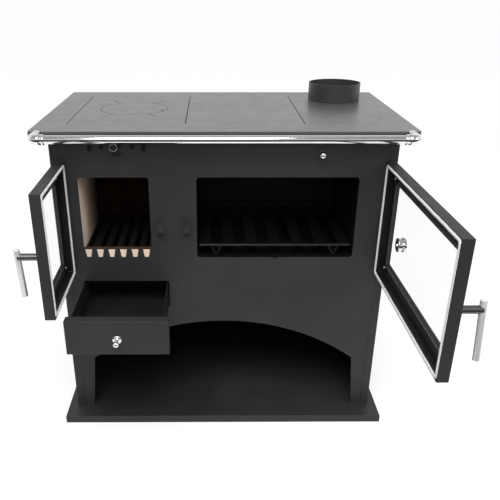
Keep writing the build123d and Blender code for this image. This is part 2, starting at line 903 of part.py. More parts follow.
def door_frame(door):
    """Box frame with its window, the hinge bearings in its corners and the handle bearing."""
    skin_y, rear_y_door = at_depth(skin_depth), at_depth(-door_standoff)
    frame = door.plate(0, skin_y, rear_y_door)
    frame = fillet(frame.edges().group_by(Axis.Y)[0], door_edge_round)
    frame -= door.plate(door_sheet, skin_y + door_sheet, rear_y_door)
    frame -= door.plate(window_margin, skin_y, skin_y + door_sheet, window_corner)
    pivot_y = at_depth(pivot_depth)
    for z, way in hinge_ends():
        x0, x1 = sorted((door.across(door_sheet / 2), door.across(hinge_inset + bearing_wall)))
        z0, z1 = sorted((z - way * door_sheet / 2, z - way * hinge_pin_length))
        frame += block(x0, x1, pivot_y - hinge_pin_radius - bearing_wall,
                       at_depth(-door_standoff - channel_floor), z0, z1)
    for z, way in hinge_ends():
        frame -= rod((door.pivot_x, pivot_y, z), (door.pivot_x, pivot_y, z - way * hinge_pin_length),
                     hinge_pin_radius + running_clearance)
    boss_y = skin_y + door_sheet
    boss_end = (door.post_x, boss_y + boss_length, door_mid_z)
    frame += rod((door.post_x, boss_y, door_mid_z), boss_end, boss_radius)
    return frame - rod((door.post_x, skin_y, door_mid_z), boss_end, spindle_radius + running_clearance)


def door_liner(door):
    """Folded inner frame that makes the gasket channel and stands on the skin."""
    floor_y = at_depth(-door_standoff - channel_floor)
    lip_outer = door_sheet + gasket_width
    lip_inner = lip_outer + lip_sheet
    liner = door.ring(door_sheet, lip_inner, floor_y, floor_y + channel_sheet)
    lip_corner = gasket_corner - gasket_width
    liner += door.ring(lip_outer, lip_inner, at_depth(skin_depth) + door_sheet,
                       floor_y + channel_sheet + lip_height, lip_corner, lip_corner)
    return liner


def door_glass(door):
    """Pane behind the window, clear of its frame."""
    y0 = at_depth(skin_depth) + door_sheet
    return door.plate(glass_margin, y0, y0 + glass_thickness)


def door_gasket(door):
    """Rope seal in its channel, its exposed side round."""
    y0 = at_depth(-door_standoff - channel_floor) + channel_sheet
    y1 = y0 + gasket_thickness
    inner_corner = gasket_corner - gasket_width
    rope = door.ring(door_sheet, door_sheet + gasket_width, y0, y1, gasket_corner, inner_corner)
    return fillet(rope.edges().group_by(Axis.Y)[-1], gasket_round)


def clip_points(door):
    """The four glass clips, with the way from each corner towards the middle."""
    inset = clip_centre
    return [(x, z, way_x, way_z)
            for x, way_x in ((door.x0 + inset, 1), (door.x1 - inset, -1))
            for z, way_z in ((door_bottom + inset, 1), (door_top - inset, -1))]


def door_clips(door):
    """Clips that hold the glass at its corners, each on a boss, with their bright screws."""
    y_skin = at_depth(skin_depth) + door_sheet
    y_clip = y_skin + glass_thickness
    solids = []
    for x, z, way_x, way_z in clip_points(door):
        boss = rod((x, y_skin, z), (x, y_clip, z), clip_boss_radius)
        shift = clip_size / 2 - clip_boss_radius
        cx, cz = x + way_x * shift, z + way_z * shift
        half = clip_size / 2
        clip = block(cx - half, cx + half, y_clip, y_clip + clip_sheet, cz - half, cz + half)
        hole = rod((x, y_skin, z), (x, y_clip + clip_sheet, z), screw_radius + screw_clearance)
        solids.append(boss + clip - hole)
    return group(*solids)


def door_screws(door):
    """Screw in each glass clip."""
    y_skin = at_depth(skin_depth) + door_sheet
    y_head = y_skin + glass_thickness + clip_sheet
    screws = []
    for x, z, _, _ in clip_points(door):
        screw = rod((x, y_skin, z), (x, y_head, z), screw_radius)
        head = rod((x, y_head, z), (x, y_head + screw_head_height, z), screw_head_radius)
        head = fillet(head.edges().group_by(Axis.Y)[-1], screw_head_round)
        screws.append(screw + head)
    return group(*screws)


def handle_bar_y():
    """Y of the bar's axis with the door shut."""
    return at_depth(skin_depth - bar_reach)


def handle_post(door):
    """Post with its spindle through the door; its end is hollowed to hold the bar."""
    y_skin = at_depth(skin_depth)
    x, z = door.post_x, door_mid_z
    post = rod((x, handle_bar_y(), z), (x, y_skin - post_gap, z), post_radius)
    spindle_end = y_skin + door_sheet + boss_length + tongue_gap + tongue_sheet + nut_height
    post += rod((x, y_skin - post_gap, z), (x, spindle_end, z), spindle_radius)
    return post - rod((x, handle_bar_y(), z - bar_below), (x, handle_bar_y(), z + bar_above), bar_radius)


def handle_bar(door):
    """Round bar across the end of the post."""
    x, y, z = door.post_x, handle_bar_y(), door_mid_z
    bar = rod((x, y, z - bar_below), (x, y, z + bar_above), bar_radius)
    return fillet(bar.edges().filter_by(GeomType.CIRCLE), bar_end_round)


def latch_tongue(door):
    """Tongue on the spindle with its nut."""
    x, z = door.post_x, door_mid_z
    y0 = at_depth(skin_depth) + door_sheet + boss_length + tongue_gap
    y1 = y0 + tongue_sheet
    tongue = block(x - tongue_half_width, x + tongue_half_width, y0, y1, z - tongue_drop, z)
    tongue += rod((x, y0, z), (x, y1, z), tongue_half_width)
    nut = slab(Pos(x, z) * RegularPolygon(nut_across / 2, 6, major_radius=False), y1, y1 + nut_height)
    return tongue + nut - rod((x, y0, z), (x, y1 + nut_height, z), spindle_radius)


def latch_keepers(doors):
    """Hooked plates on the front panel that the tongues pass behind."""
    keepers = []
    for door in doors:
        x0, x1 = door.post_x - keeper_width / 2, door.post_x + keeper_width / 2
        z0 = keeper_top - keeper_height
        y0 = at_depth(-keeper_reach)
        plate = block(x0, x1, y0, y0 + keeper_sheet, z0, keeper_top)
        plate += block(x0, x1, y0, front_y, z0, z0 + keeper_sheet)
        keepers.append(plate)
    return group(*keepers)


def door_hinges(doors):
    """Bracket and pin above and below each door."""
    pivot_y = at_depth(pivot_depth)
    solids = []
    for door in doors:
        for z, way in hinge_ends():
            inner = z + way * hinge_gap
            outer = inner + way * bracket_sheet
            z0, z1 = sorted((inner, outer))
            x0, x1 = door.pivot_x - bracket_half_width, door.pivot_x + bracket_half_width
            bracket = block(x0, x1, pivot_y, front_y, z0, z1)
            bracket += rod((door.pivot_x, pivot_y, z0), (door.pivot_x, pivot_y, z1), bracket_half_width)
            bracket -= rod((door.pivot_x, pivot_y, z0), (door.pivot_x, pivot_y, z1), hinge_pin_radius)
            tip = z - way * (hinge_pin_length - hinge_pin_tip)
            pin = rod((door.pivot_x, pivot_y, tip), (door.pivot_x, pivot_y, outer), hinge_pin_radius)
            head_end = outer + way * hinge_pin_head_height
            pin += rod((door.pivot_x, pivot_y, outer), (door.pivot_x, pivot_y, head_end), hinge_pin_head)
            solids += [bracket, pin]
    return group(*solids)


def gauge_centre(door):
    """X and Z of the thermometer with the door shut."""
    return door.across(gauge_from_hinge), gauge_z


def gauge_case(door):
    """Case: a cup in front of the glass, a neck through it and a cap with a stem behind it."""
    x, z = gauge_centre(door)
    y_glass = at_depth(skin_depth) + door_sheet
    y_rear = y_glass + glass_thickness
    case = rod((x, y_glass - gauge_front, z), (x, y_glass, z), gauge_radius)
    case = fillet(case.edges().group_by(Axis.Y)[0], gauge_bezel_round)
    case -= rod((x, y_glass - gauge_front, z), (x, y_glass - gauge_front + gauge_dial_depth, z),
                gauge_radius - gauge_bezel)
    case += rod((x, y_glass, z), (x, y_rear, z), gauge_neck_radius)
    cap = rod((x, y_rear, z), (x, y_rear + gauge_rear_height, z), gauge_rear_radius)
    case += fillet(cap.edges().group_by(Axis.Y)[-1], gauge_rear_round)
    stem_end = y_rear + gauge_rear_height + gauge_stem_length
    return case + rod((x, y_rear, z), (x, stem_end, z), gauge_stem_radius)


def gauge_dial(door):
    """Dial plate in the cup, with the pin that the pointer turns on."""
    x, z = gauge_centre(door)
    y = at_depth(skin_depth) + door_sheet - gauge_front + gauge_dial_depth
    dial = rod((x, y - gauge_dial_sheet, z), (x, y, z), gauge_radius - gauge_bezel)
    pin_end = y - gauge_dial_sheet - pointer_gap - pointer_sheet
    return dial + rod((x, pin_end, z), (x, y, z), pointer_pin_radius)


def gauge_pointer(door):
    """Pointer on its hub, upright at rest."""
    x, z = gauge_centre(door)
    y1 = at_depth(skin_depth) + door_sheet - gauge_front + gauge_dial_depth - gauge_dial_sheet - pointer_gap
    left, right = x - pointer_half_width, x + pointer_half_width
    needle = make_face(Polyline((left, z - pointer_tail), (right, z - pointer_tail), (x, z + pointer_length),
                                close=True))
    outline = needle + Pos(x, z) * Circle(pointer_hub_radius)
    outline -= Pos(x, z) * Circle(pointer_pin_radius + running_clearance)
    return slab(outline, y1 - pointer_sheet, y1)


def add_door(door, glass=None):
    """Put one door's pieces in their nodes, swung open."""
    pane = door_glass(door) if glass is None else glass
    fixed = {"frame": door_frame(door), "liner": door_liner(door), "glass": pane,
             "gasket": door_gasket(door), "clips": door_clips(door), "screws": door_screws(door)}
    for word, shape in fixed.items():
        nodes[f"{door.name}_door_{word}"] = door.swing(shape)
    turning = {"handle_post": handle_post(door), "handle_bar": handle_bar(door),
               "latch_tongue": latch_tongue(door)}
    for word, shape in turning.items():
        nodes[f"{door.name}_{word}"] = door.swing_with_handle(shape)


fire_door = Door("fire", fire_hinge_x, fire_width, -1, fire_post_inset, fire_open_angle, fire_bar_tilt)
oven_door = Door("oven", oven_hinge_x, oven_width, 1, oven_post_inset, oven_open_angle, oven_bar_tilt)
both_doors = (fire_door, oven_door)

nodes["base_plate"] = base_plate()
nodes["base_stiffener"] = base_stiffener()
nodes["side_panel_left"] = side_panel(-1)
nodes["side_panel_right"] = side_panel(1)
nodes["front_panel"] = front_panel()
nodes["back_panel"] = back_panel()
nodes["floor_pan"] = floor_pan()
nodes["divider_plate"] = divider_plate()
nodes["hob_frame"] = hob_frame()
nodes["hob_plate"] = hob_plate()
nodes["hob_lid"] = hob_lid()
nodes["lid_seat_ring"] = lid_seat_ring()
nodes["flue_blanking_disc"] = flue_blanking_disc()
nodes["flue_collar"] = flue_collar()
nodes["rail_tube"] = rail_tube()
nodes["rail_bracket_left"] = rail_bracket(-1)
nodes["rail_bracket_right"] = rail_bracket(1)
nodes["firebox_shell"] = firebox_shell()
nodes["firebrick_left"] = firebrick_side(firebox_span()[0], brick_left_face)
nodes["firebrick_right"] = firebrick_side(brick_right_face, firebox_span()[1])
nodes["firebrick_back"] = firebrick_back()
nodes["firebrick_front"] = firebrick_front()
nodes["grate"] = grate()
nodes["ash_chute"] = ash_chute()
nodes["oven_box"] = oven_box()
nodes["oven_shelf"] = oven_shelf()
nodes["drawer_runners"] = drawer_runners()
nodes["rear_baffle"] = rear_baffle()
nodes["damper_bushes"] = damper_bushes()
nodes["damper_knob"] = damper_knob()
nodes["damper_rod"] = damper_rod()
nodes["damper_plate"] = damper_plate()
nodes["air_slide"] = air_slide()
nodes["air_knob"] = air_knob()
nodes["latch_keepers"] = latch_keepers(both_doors)
nodes["door_hinges"] = door_hinges(both_doors)
pulled_out = Pos(0, -drawer_travel, 0)
nodes["drawer_front"] = pulled_out * drawer_front()
nodes["drawer_box"] = pulled_out * drawer_box()
nodes["drawer_knob"] = pulled_out * drawer_knob()

gauge_x, gauge_centre_z = gauge_centre(oven_door)
gauge_hole = rod((gauge_x, at_depth(skin_depth), gauge_centre_z), (gauge_x, front_y, gauge_centre_z),
                 gauge_neck_radius + gauge_glass_clearance)
add_door(fire_door)
add_door(oven_door, door_glass(oven_door) - gauge_hole)
nodes["thermometer_case"] = oven_door.swing(gauge_case(oven_door))
nodes["thermometer_dial"] = oven_door.swing(gauge_dial(oven_door))
nodes["thermometer_pointer"] = oven_door.swing(gauge_pointer(oven_door))

os.makedirs("parts", exist_ok=True)
for name, shape in nodes.items():
    export_step(shape, f"parts/{name}.step")
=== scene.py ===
"""Finish and studio for a wood-burning range cooker with its doors and drawer open.

The construction comes packed and fixed. This script gives every piece its finish, makes the
braided door seals, the handle bars, the rail, the drawer knob and the thermometer's marks as
surfaces, and sets up the floor, the light and the camera. Lengths are in metres.
"""

import json
import logging
import math
from dataclasses import dataclass, field
from enum import Enum
from typing import Any, Protocol

import bpy
import numpy as np
from mathutils import Matrix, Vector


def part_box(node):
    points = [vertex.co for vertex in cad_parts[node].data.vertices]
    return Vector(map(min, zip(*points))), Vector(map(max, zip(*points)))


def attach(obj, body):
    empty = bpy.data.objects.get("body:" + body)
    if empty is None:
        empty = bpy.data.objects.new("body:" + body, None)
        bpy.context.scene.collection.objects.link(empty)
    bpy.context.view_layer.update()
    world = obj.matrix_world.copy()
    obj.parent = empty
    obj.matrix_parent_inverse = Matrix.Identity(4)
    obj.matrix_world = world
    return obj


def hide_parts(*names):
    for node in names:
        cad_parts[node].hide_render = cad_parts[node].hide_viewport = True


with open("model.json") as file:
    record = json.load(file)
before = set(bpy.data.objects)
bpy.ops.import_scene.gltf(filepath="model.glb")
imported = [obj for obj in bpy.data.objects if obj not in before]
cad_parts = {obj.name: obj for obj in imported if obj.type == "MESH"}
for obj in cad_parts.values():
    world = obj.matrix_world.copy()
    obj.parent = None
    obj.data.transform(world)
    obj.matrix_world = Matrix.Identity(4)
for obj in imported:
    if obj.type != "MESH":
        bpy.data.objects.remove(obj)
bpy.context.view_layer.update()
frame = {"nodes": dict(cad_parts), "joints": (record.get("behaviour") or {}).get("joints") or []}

MM = 0.001
BRAID = "braid"
TINY = 1e-9  # shorter steps of a path give no direction
NUDGE = 1e-12  # keeps a direction from coming out as nought
EDGE_SAMPLES = 4
NOISE_MOST = (0.3, 0.7)  # nearly all values of fractal noise
NOISE_MIDDLE = (0.35, 0.65)
ROUNDING_STEPS = 5
ELBOW_STEPS = 17
UPWARDS = np.array([0.0, 0.0, 1.0])
Array = np.ndarray
Triple = tuple[float, float, float]
Colour = Triple
Stops = tuple[tuple[float, float], ...]
Material = bpy.types.Material
Socket = bpy.types.NodeSocket
log = logging.getLogger("stove")


class Side(Enum):
    """End of the rail, with the sign of its X."""

    LEFT = -1
    RIGHT = 1


def shade(colour: Colour, factor: float) -> Colour:
    """The colour with each channel multiplied by the factor."""
    return tuple(c * factor for c in colour)


def add_node(tree: bpy.types.NodeTree, kind: str, **settings: Any) -> bpy.types.Node:
    """Add a node to a tree and set its properties.

    Args:
        tree: the tree.
        kind: the node's type name.
        settings: properties by name.

    Returns:
        The new node.
    """
    node = tree.nodes.new(kind)
    for name, value in settings.items():
        setattr(node, name, value)
    return node


class Graph:
    """A material's node tree, put together step by step."""

    def __init__(self, name: str) -> None:
        """Start an empty material with that name."""
        self.material = bpy.data.materials.new(name)
        self.material.use_nodes = True
        self.tree = self.material.node_tree
        self.tree.nodes.clear()
        self.output = self.add("ShaderNodeOutputMaterial")
        self.coordinates = self.add("ShaderNodeTexCoord")

    def add(self, kind: str, **settings: Any) -> bpy.types.Node:
        """Add a node of that type with its properties set."""
        return add_node(self.tree, kind, **settings)

    def join(self, source: Socket, target: Socket) -> None:
        """Link one socket to another."""
        self.tree.links.new(source, target)

    def place(self, scale: Triple = (1.0, 1.0, 1.0)) -> Socket:
        """Coordinates of the surface point in the object's own frame, stretched.

        Args:
            scale: factor along each axis.

        Returns:
            The vector socket.
        """
        mapping = self.add("ShaderNodeMapping")
        mapping.inputs["Scale"].default_value = scale
        self.join(self.coordinates.outputs["Object"], mapping.inputs["Vector"])
        return mapping.outputs["Vector"]

    def noise(self, scale: float, detail: float = 4.0, roughness: float = 0.55,
              stretch: Triple = (1.0, 1.0, 1.0)) -> Socket:
        """Fractal noise.

        Args:
            scale: features per metre.
            detail: octaves.
            roughness: weight of the finer octaves.
            stretch: factor along each axis.

        Returns:
            The value socket, about 0.3 to 0.7.
        """
        node = self.add("ShaderNodeTexNoise")
        node.inputs["Scale"].default_value = scale
        node.inputs["Detail"].default_value = detail
        node.inputs["Roughness"].default_value = roughness
        self.join(self.place(stretch), node.inputs["Vector"])
        return node.outputs["Fac"]

    def cells(self, scale: float) -> Socket:
        """Distance to the nearest cell centre, with that many cells per metre."""
        node = self.add("ShaderNodeTexVoronoi")
        node.inputs["Scale"].default_value = scale
        self.join(self.place(), node.inputs["Vector"])
        return node.outputs["Distance"]

    def span(self, value: Socket, low: float, high: float,
             to_low: float = 0.0, to_high: float = 1.0) -> Socket:
        """Map a value from one range to another, clamped.

        Args:
            value: the value socket.
            low: start of the input range.
            high: end of the input range.
            to_low: result at the start.
            to_high: result at the end.

        Returns:
            The mapped value socket.
        """
        node = self.add("ShaderNodeMapRange", interpolation_type="SMOOTHSTEP")
        for name, number in (("From Min", low), ("From Max", high), ("To Min", to_low), ("To Max", to_high)):
            node.inputs[name].default_value = number
        self.join(value, node.inputs["Value"])
        return node.outputs["Result"]

    def mix(self, factor: Socket, low: Colour | Socket,
            high: Colour | Socket) -> Socket:
        """Blend two colours by a factor.

        Args:
            factor: 0 for the first colour, 1 for the second.
            low: first colour or socket.
            high: second colour or socket.

        Returns:
            The colour socket.
        """
        node = self.add("ShaderNodeMix", data_type="RGBA")
        self.join(factor, node.inputs[0])
        for index, value in ((6, low), (7, high)):
            if isinstance(value, tuple):
                node.inputs[index].default_value = (*value, 1.0)
            else:
                self.join(value, node.inputs[index])
        return node.outputs[2]

    def fleck(self, colour: Socket, value: Socket, low: float, high: float, share: float,
              other: Colour) -> Socket:
        """Blend another colour in where a value is high.

        Args:
            colour: the colour so far.
            value: the value socket.
            low: value at which the other colour starts.
            high: value at which it is at its most.
            share: the most of it, 0 to 1.
            other: the other colour.

        Returns:
            The colour socket.
        """
        return self.mix(self.span(value, low, high, 0.0, share), colour, other)

    def sums(self, operation: str, first: Socket, second: Socket | float) -> Socket:
        """Arithmetic on values.

        Args:
            operation: name of the operation.
            first: first value.
            second: second value or number.

        Returns:
            The result socket.
        """
        node = self.add("ShaderNodeMath", operation=operation)
        self.join(first, node.inputs[0])
        if isinstance(second, (int, float)):
            node.inputs[1].default_value = second
        else:
            self.join(second, node.inputs[1])
        return node.outputs[0]

    def axis(self, name: str) -> Socket:
        """One coordinate of the surface point in the object's frame, in metres."""
        split = self.add("ShaderNodeSeparateXYZ")
        self.join(self.place(), split.inputs[0])
        return split.outputs[name]

    def soft_edge(self, radius: float) -> Socket:
        """Normal that rounds sharp edges by a small radius."""
        node = self.add("ShaderNodeBevel", samples=EDGE_SAMPLES)
        node.inputs["Radius"].default_value = radius
        return node.outputs["Normal"]

    def bump(self, height: Socket, depth: float, strength: float = 1.0,
             base: Socket | None = None) -> Socket:
        """Normal of a surface raised by a height.

        Args:
            height: height socket, 0 to 1.
            depth: metres that a height of 1 stands for.
            strength: share of the effect.
            base: normal that it starts from.

        Returns:
            The normal socket.
        """
        node = self.add("ShaderNodeBump")
        node.inputs["Distance"].default_value = depth
        node.inputs["Strength"].default_value = strength
        self.join(height, node.inputs["Height"])
        if base is not None:
            self.join(base, node.inputs["Normal"])
        return node.outputs["Normal"]

    def finish(self, colour: Socket | Colour, roughness: Socket | float,
               normal: Socket | None = None, **fixed: float) -> Material:
        """Close the tree with the surface shader.

        Args:
            colour: base colour.
            roughness: roughness.
            normal: normal socket, if any.
            fixed: further shader values by socket name, with spaces as underscores.

        Returns:
            The finished material.
        """
        shader = self.add("ShaderNodeBsdfPrincipled")
        if isinstance(colour, tuple):
            shader.inputs["Base Color"].default_value = (*colour, 1.0)
        else:
            self.join(colour, shader.inputs["Base Color"])
        if isinstance(roughness, float):
            shader.inputs["Roughness"].default_value = roughness
        else:
            self.join(roughness, shader.inputs["Roughness"])
        if normal is not None:
            self.join(normal, shader.inputs["Normal"])
        for name, value in fixed.items():
            shader.inputs[name.replace("_", " ")].default_value = value
        self.join(shader.outputs[0], self.output.inputs["Surface"])
        return self.material


@dataclass(frozen=True)
class SheetPaint:
    """Matt paint on folded sheet: a fine orange peel, faint clouding and softly rounded edges."""

    name: str
    colour: Colour
    roughness: float = 0.55
    cloud: float = 0.12
    peel: float = 0.00005
    peel_scale: float = 1500.0
    edge: float = 0.0007
    specular: float = 0.4
    cloud_scale: float = 5.0
    patch_scale: float = 12.0
    speck: float = 0.12
    speck_light: float = 1.8

    def material(self) -> Material:
        """Build the paint."""
        graph = Graph(self.name)
        cloud = graph.span(graph.noise(self.cloud_scale, 5.0), *NOISE_MIDDLE)
        speck = graph.span(graph.noise(self.peel_scale * 0.6, 2.0), *NOISE_MOST)
        colour = graph.mix(cloud, shade(self.colour, 1 - self.cloud), shade(self.colour, 1 + self.cloud))
        colour = graph.mix(graph.sums("MULTIPLY", speck, self.speck), colour,
                           shade(self.colour, self.speck_light))
        patch = graph.noise(self.patch_scale, 4.0)
        rough = graph.span(patch, *NOISE_MOST, self.roughness - 0.05, self.roughness + 0.06)
        normal = graph.bump(graph.noise(self.peel_scale, 2.0), self.peel, 1.0, graph.soft_edge(self.edge))
        return graph.finish(colour, rough, normal, Specular_IOR_Level=self.specular)


@dataclass(frozen=True)
class Seam:
    """Round joint line in the cooking plate, darkened partly as oxide and partly as painted shade in its gap:
    its centre, its radius and how dark it is.
    """

    x: float
    y: float
    radius: float
    strength: float


@dataclass(frozen=True)
class RolledPlate:
    """Grey ground cooking plate: faint cloud, short rolling marks, and dark lines at the round seams that are
    partly oxide and partly painted shade in the gaps.
    """

    name: str
    colour: Colour
    roughness: float = 0.34
    metallic: float = 0.5
    mark_depth: float = 0.00002
    edge: float = 0.0006
    seams: tuple[Seam, ...] = (Seam(-0.223, 0.035, 0.0843, 0.75), Seam(0.304, -0.095, 0.0648, 0.35))
    seam_half: float = 0.0011
    seam_fade: float = 2.2
    grain_scale: float = 900.0
    rolling_scale: float = 260.0
    rolling_stretch: Triple = (0.05, 1.0, 1.0)
    seam_oxide_and_shade_colour: Colour = (0.006, 0.006, 0.006)

    def seam_shade(self, graph: Graph) -> Socket:
        """Darkness close to the round seams, partly oxide and partly painted shade in the gaps, from the
        distance to each centre less its radius.
        """
        x, y = graph.axis("X"), graph.axis("Y")
        total = graph.sums("MULTIPLY", x, 0.0)
        for seam in self.seams:
            dx = graph.sums("ADD", x, -seam.x)
            dy = graph.sums("ADD", y, -seam.y)
            reach = graph.sums("SQRT", graph.sums("ADD", graph.sums("MULTIPLY", dx, dx),
                                                  graph.sums("MULTIPLY", dy, dy)), 0.0)
            off = graph.sums("ABSOLUTE", graph.sums("ADD", reach, -seam.radius), 0.0)
            line = graph.span(off, self.seam_half, self.seam_fade * self.seam_half, seam.strength, 0.0)
            total = graph.sums("MAXIMUM", total, line)
        return total

    def material(self) -> Material:
        """Build the plate's finish."""
        graph = Graph(self.name)
        cloud = graph.span(graph.noise(2.5, 3.0), *NOISE_MOST)
        grain = graph.noise(self.grain_scale, 3.0)
        rolling = graph.noise(self.rolling_scale, 4.0, 0.6, self.rolling_stretch)
        colour = graph.mix(cloud, shade(self.colour, 0.97), shade(self.colour, 1.03))
        colour = graph.fleck(colour, grain, 0.42, 0.7, 0.15, shade(self.colour, 1.4))
        colour = graph.fleck(colour, rolling, 0.5, 0.75, 0.12, shade(self.colour, 0.8))
        # Painted shade, partly oxide: a dark line along the gaps round the lid and the blanking disc.
        colour = graph.mix(self.seam_shade(graph), colour, self.seam_oxide_and_shade_colour)
        rough = graph.span(graph.noise(30.0, 5.0), *NOISE_MOST, self.roughness - 0.02, self.roughness + 0.03)
        height = graph.sums("ADD", grain, rolling)
        normal = graph.bump(height, self.mark_depth, 0.7, graph.soft_edge(self.edge))
        return graph.finish(colour, rough, normal, Metallic=self.metallic)


@dataclass(frozen=True)
class PolishedMetal:
    """Bright plated metal with faint hairlines and a trace of haze."""

    name: str
    colour: Colour = (0.83, 0.84, 0.86)
    roughness: float = 0.09
    hairline: float = 0.000006
    haze_scale: float = 60.0
    line_scale: float = 1500.0

    def material(self) -> Material:
        """Build the plating."""
        graph = Graph(self.name)
        haze = graph.span(graph.noise(self.haze_scale, 4.0), 0.35, 0.7)
        colour = graph.mix(haze, self.colour, shade(self.colour, 0.93))
        rough = graph.span(graph.noise(220.0, 4.0), 0.3, 0.75, self.roughness * 0.8, self.roughness * 1.5)
        lines = graph.noise(self.line_scale, 2.0, 0.5)
        return graph.finish(colour, rough, graph.bump(lines, self.hairline), Metallic=1.0)


@dataclass(frozen=True)
class BrushedMetal:
    """Ground steel: long fine scratches along one axis."""

    name: str
    colour: Colour
    roughness: float = 0.3
    along: Triple = (1.0, 1.0, 0.03)
    depth: float = 0.000004
    metallic: float = 1.0
    line_scale: float = 2600.0

    def material(self) -> Material:
        """Build the ground finish."""
        graph = Graph(self.name)
        lines = graph.noise(self.line_scale, 3.0, 0.6, self.along)
        colour = graph.mix(graph.span(lines, *NOISE_MIDDLE), shade(self.colour, 0.94), self.colour)
        rough = graph.span(lines, *NOISE_MOST, self.roughness - 0.04, self.roughness + 0.06)
        return graph.finish(colour, rough, graph.bump(lines, self.depth, 0.8), Metallic=self.metallic)


@dataclass(frozen=True)
class FireBrick:
    """Pressed fire-clay: sandy grain, fine pits, soot on ledges, and soot with painted shade that darkens the
    brick towards the rear of the firebox.
    """

    name: str
    colour: Colour = (0.92, 0.68, 0.52)
    pale: Colour = (0.98, 0.86, 0.74)
    soot_and_shade: Colour = (0.03, 0.012, 0.005)
    rear_soot_and_shade_from: float = -0.16
    rear_soot_and_shade_to: float = 0.07
    soot_and_shade_most: float = 0.97
    sand_scale: float = 1100.0
    pit_scale: float = 420.0
    relief: float = 0.0003

    def material(self) -> Material:
        """Build the brick."""
        graph = Graph(self.name)
        cloud = graph.span(graph.noise(22.0, 6.0, 0.65), *NOISE_MOST)
        sand = graph.noise(self.sand_scale, 3.0, 0.7)
        colour = graph.mix(cloud, self.colour, self.pale)
        colour = graph.fleck(colour, sand, 0.55, 0.8, 0.35, shade(self.colour, 0.6))
        patchy = graph.span(graph.noise(28.0, 5.0, 0.7), *NOISE_MOST, 1.0, 1.06)
        # Painted shade, with some soot: the brick darkens towards the rear, deep in the firebox.
        depth = graph.span(graph.axis("Y"), self.rear_soot_and_shade_from, self.rear_soot_and_shade_to, 0.0, self.soot_and_shade_most)
        depth = graph.sums("MULTIPLY", depth, patchy)
        facing = graph.add("ShaderNodeSeparateXYZ")
        graph.join(graph.add("ShaderNodeNewGeometry").outputs["Normal"], facing.inputs[0])
        ledge = graph.span(facing.outputs["Z"], 0.6, 0.9, 0.0, self.soot_and_shade_most)
        colour = graph.mix(graph.sums("MINIMUM", graph.sums("MAXIMUM", depth, ledge), 1.0), colour, self.soot_and_shade)
        pits = graph.span(graph.cells(self.pit_scale), 0.0, 0.28)
        relief = graph.sums("ADD", pits, sand)
        return graph.finish(colour, 0.93, graph.bump(relief, self.relief, 0.7, graph.soft_edge(0.0015)),
                            Specular_IOR_Level=0.2)


@dataclass(frozen=True)
class CastBlack:
    """Black iron casting with a sandy skin."""

    name: str
    colour: Colour = (0.004, 0.004, 0.004)
    roughness: float = 0.7
    skin_scale: float = 700.0
    relief: float = 0.0004

    def material(self) -> Material:
        """Build the casting's skin."""
        graph = Graph(self.name)
        skin = graph.noise(self.skin_scale, 4.0, 0.65)
        colour = graph.mix(graph.span(skin, 0.4, 0.75), self.colour, shade(self.colour, 2.4))
        rough = graph.span(graph.noise(80.0, 4.0), *NOISE_MOST, self.roughness - 0.08, self.roughness + 0.12)
        return graph.finish(colour, rough, graph.bump(skin, self.relief, 0.6, graph.soft_edge(0.001)),
                            Specular_IOR_Level=0.2)


@dataclass(frozen=True)
class ClearPane:
    """Heat-proof pane: nearly clear, with a faint uneven smear of its gloss."""

    name: str
    tint: Colour = (0.82, 0.86, 0.85)
    opacity: float = 0.06

    def material(self) -> Material:
        """Build the pane."""
        graph = Graph(self.name)
        smear = graph.noise(14.0, 5.0, 0.6, (1.0, 1.0, 0.4))
        rough = graph.span(smear, 0.35, 0.7, 0.015, 0.05)
        colour = graph.mix(graph.span(smear, *NOISE_MOST), self.tint, shade(self.tint, 0.96))
        return graph.finish(colour, rough, Alpha=self.opacity)


@dataclass(frozen=True)
class FibreRope:
    """Braided glass-fibre rope: off-white strands with painted shade in the valleys of the braid."""

    name: str
    colour: Colour = (0.96, 0.96, 0.95)
    valley_shade: Colour = (0.5, 0.5, 0.49)
    stain: Colour = (0.5, 0.46, 0.4)
    fibre_scale: float = 2600.0
    relief: float = 0.0002

    def material(self) -> Material:
        """Build the rope from the height of the braid that the piece stores."""
        graph = Graph(self.name)
        height = graph.add("ShaderNodeAttribute", attribute_name=BRAID).outputs["Fac"]
        fibre = graph.noise(self.fibre_scale, 2.0, 0.6)
        # Painted shade: the colour darkens where the braid sinks between its strands.
        colour = graph.mix(graph.span(height, 0.15, 0.75), self.valley_shade, self.colour)
        colour = graph.fleck(colour, fibre, 0.5, 0.75, 0.35, shade(self.colour, 0.7))
        colour = graph.fleck(colour, graph.noise(30.0, 4.0), 0.52, 0.75, 0.4, self.stain)
        return graph.finish(colour, 0.9, graph.bump(fibre, self.relief, 0.6), Sheen_Weight=0.15)


def dress(material: Material, *nodes: str) -> None:
    """Give carried-over pieces one finish.

    Args:
        material: the finish.
        nodes: names of the pieces.
    """
    for name in nodes:
        mesh = frame["nodes"][name].data
        mesh.materials.clear()
        mesh.materials.append(material)


def grid_faces(rows: int, columns: int, close_rows: bool, close_columns: bool) -> Array:
    """Quads of a rows by columns grid of points.

    Args:
        rows: points along the first parameter.
        columns: points along the second parameter.
        close_rows: join the last row to the first.
        close_columns: join the last column to the first.

    Returns:
        Integer array with one row of four corners per face.
    """
    i = np.arange(rows if close_rows else rows - 1)[:, None]
    j = np.arange(columns if close_columns else columns - 1)[None, :]
    i2, j2 = (i + 1) % rows, (j + 1) % columns
    corners = [i * columns + j, i2 * columns + j, i2 * columns + j2, i * columns + j2]
    return np.stack([c.ravel() for c in np.broadcast_arrays(*corners)], axis=1)


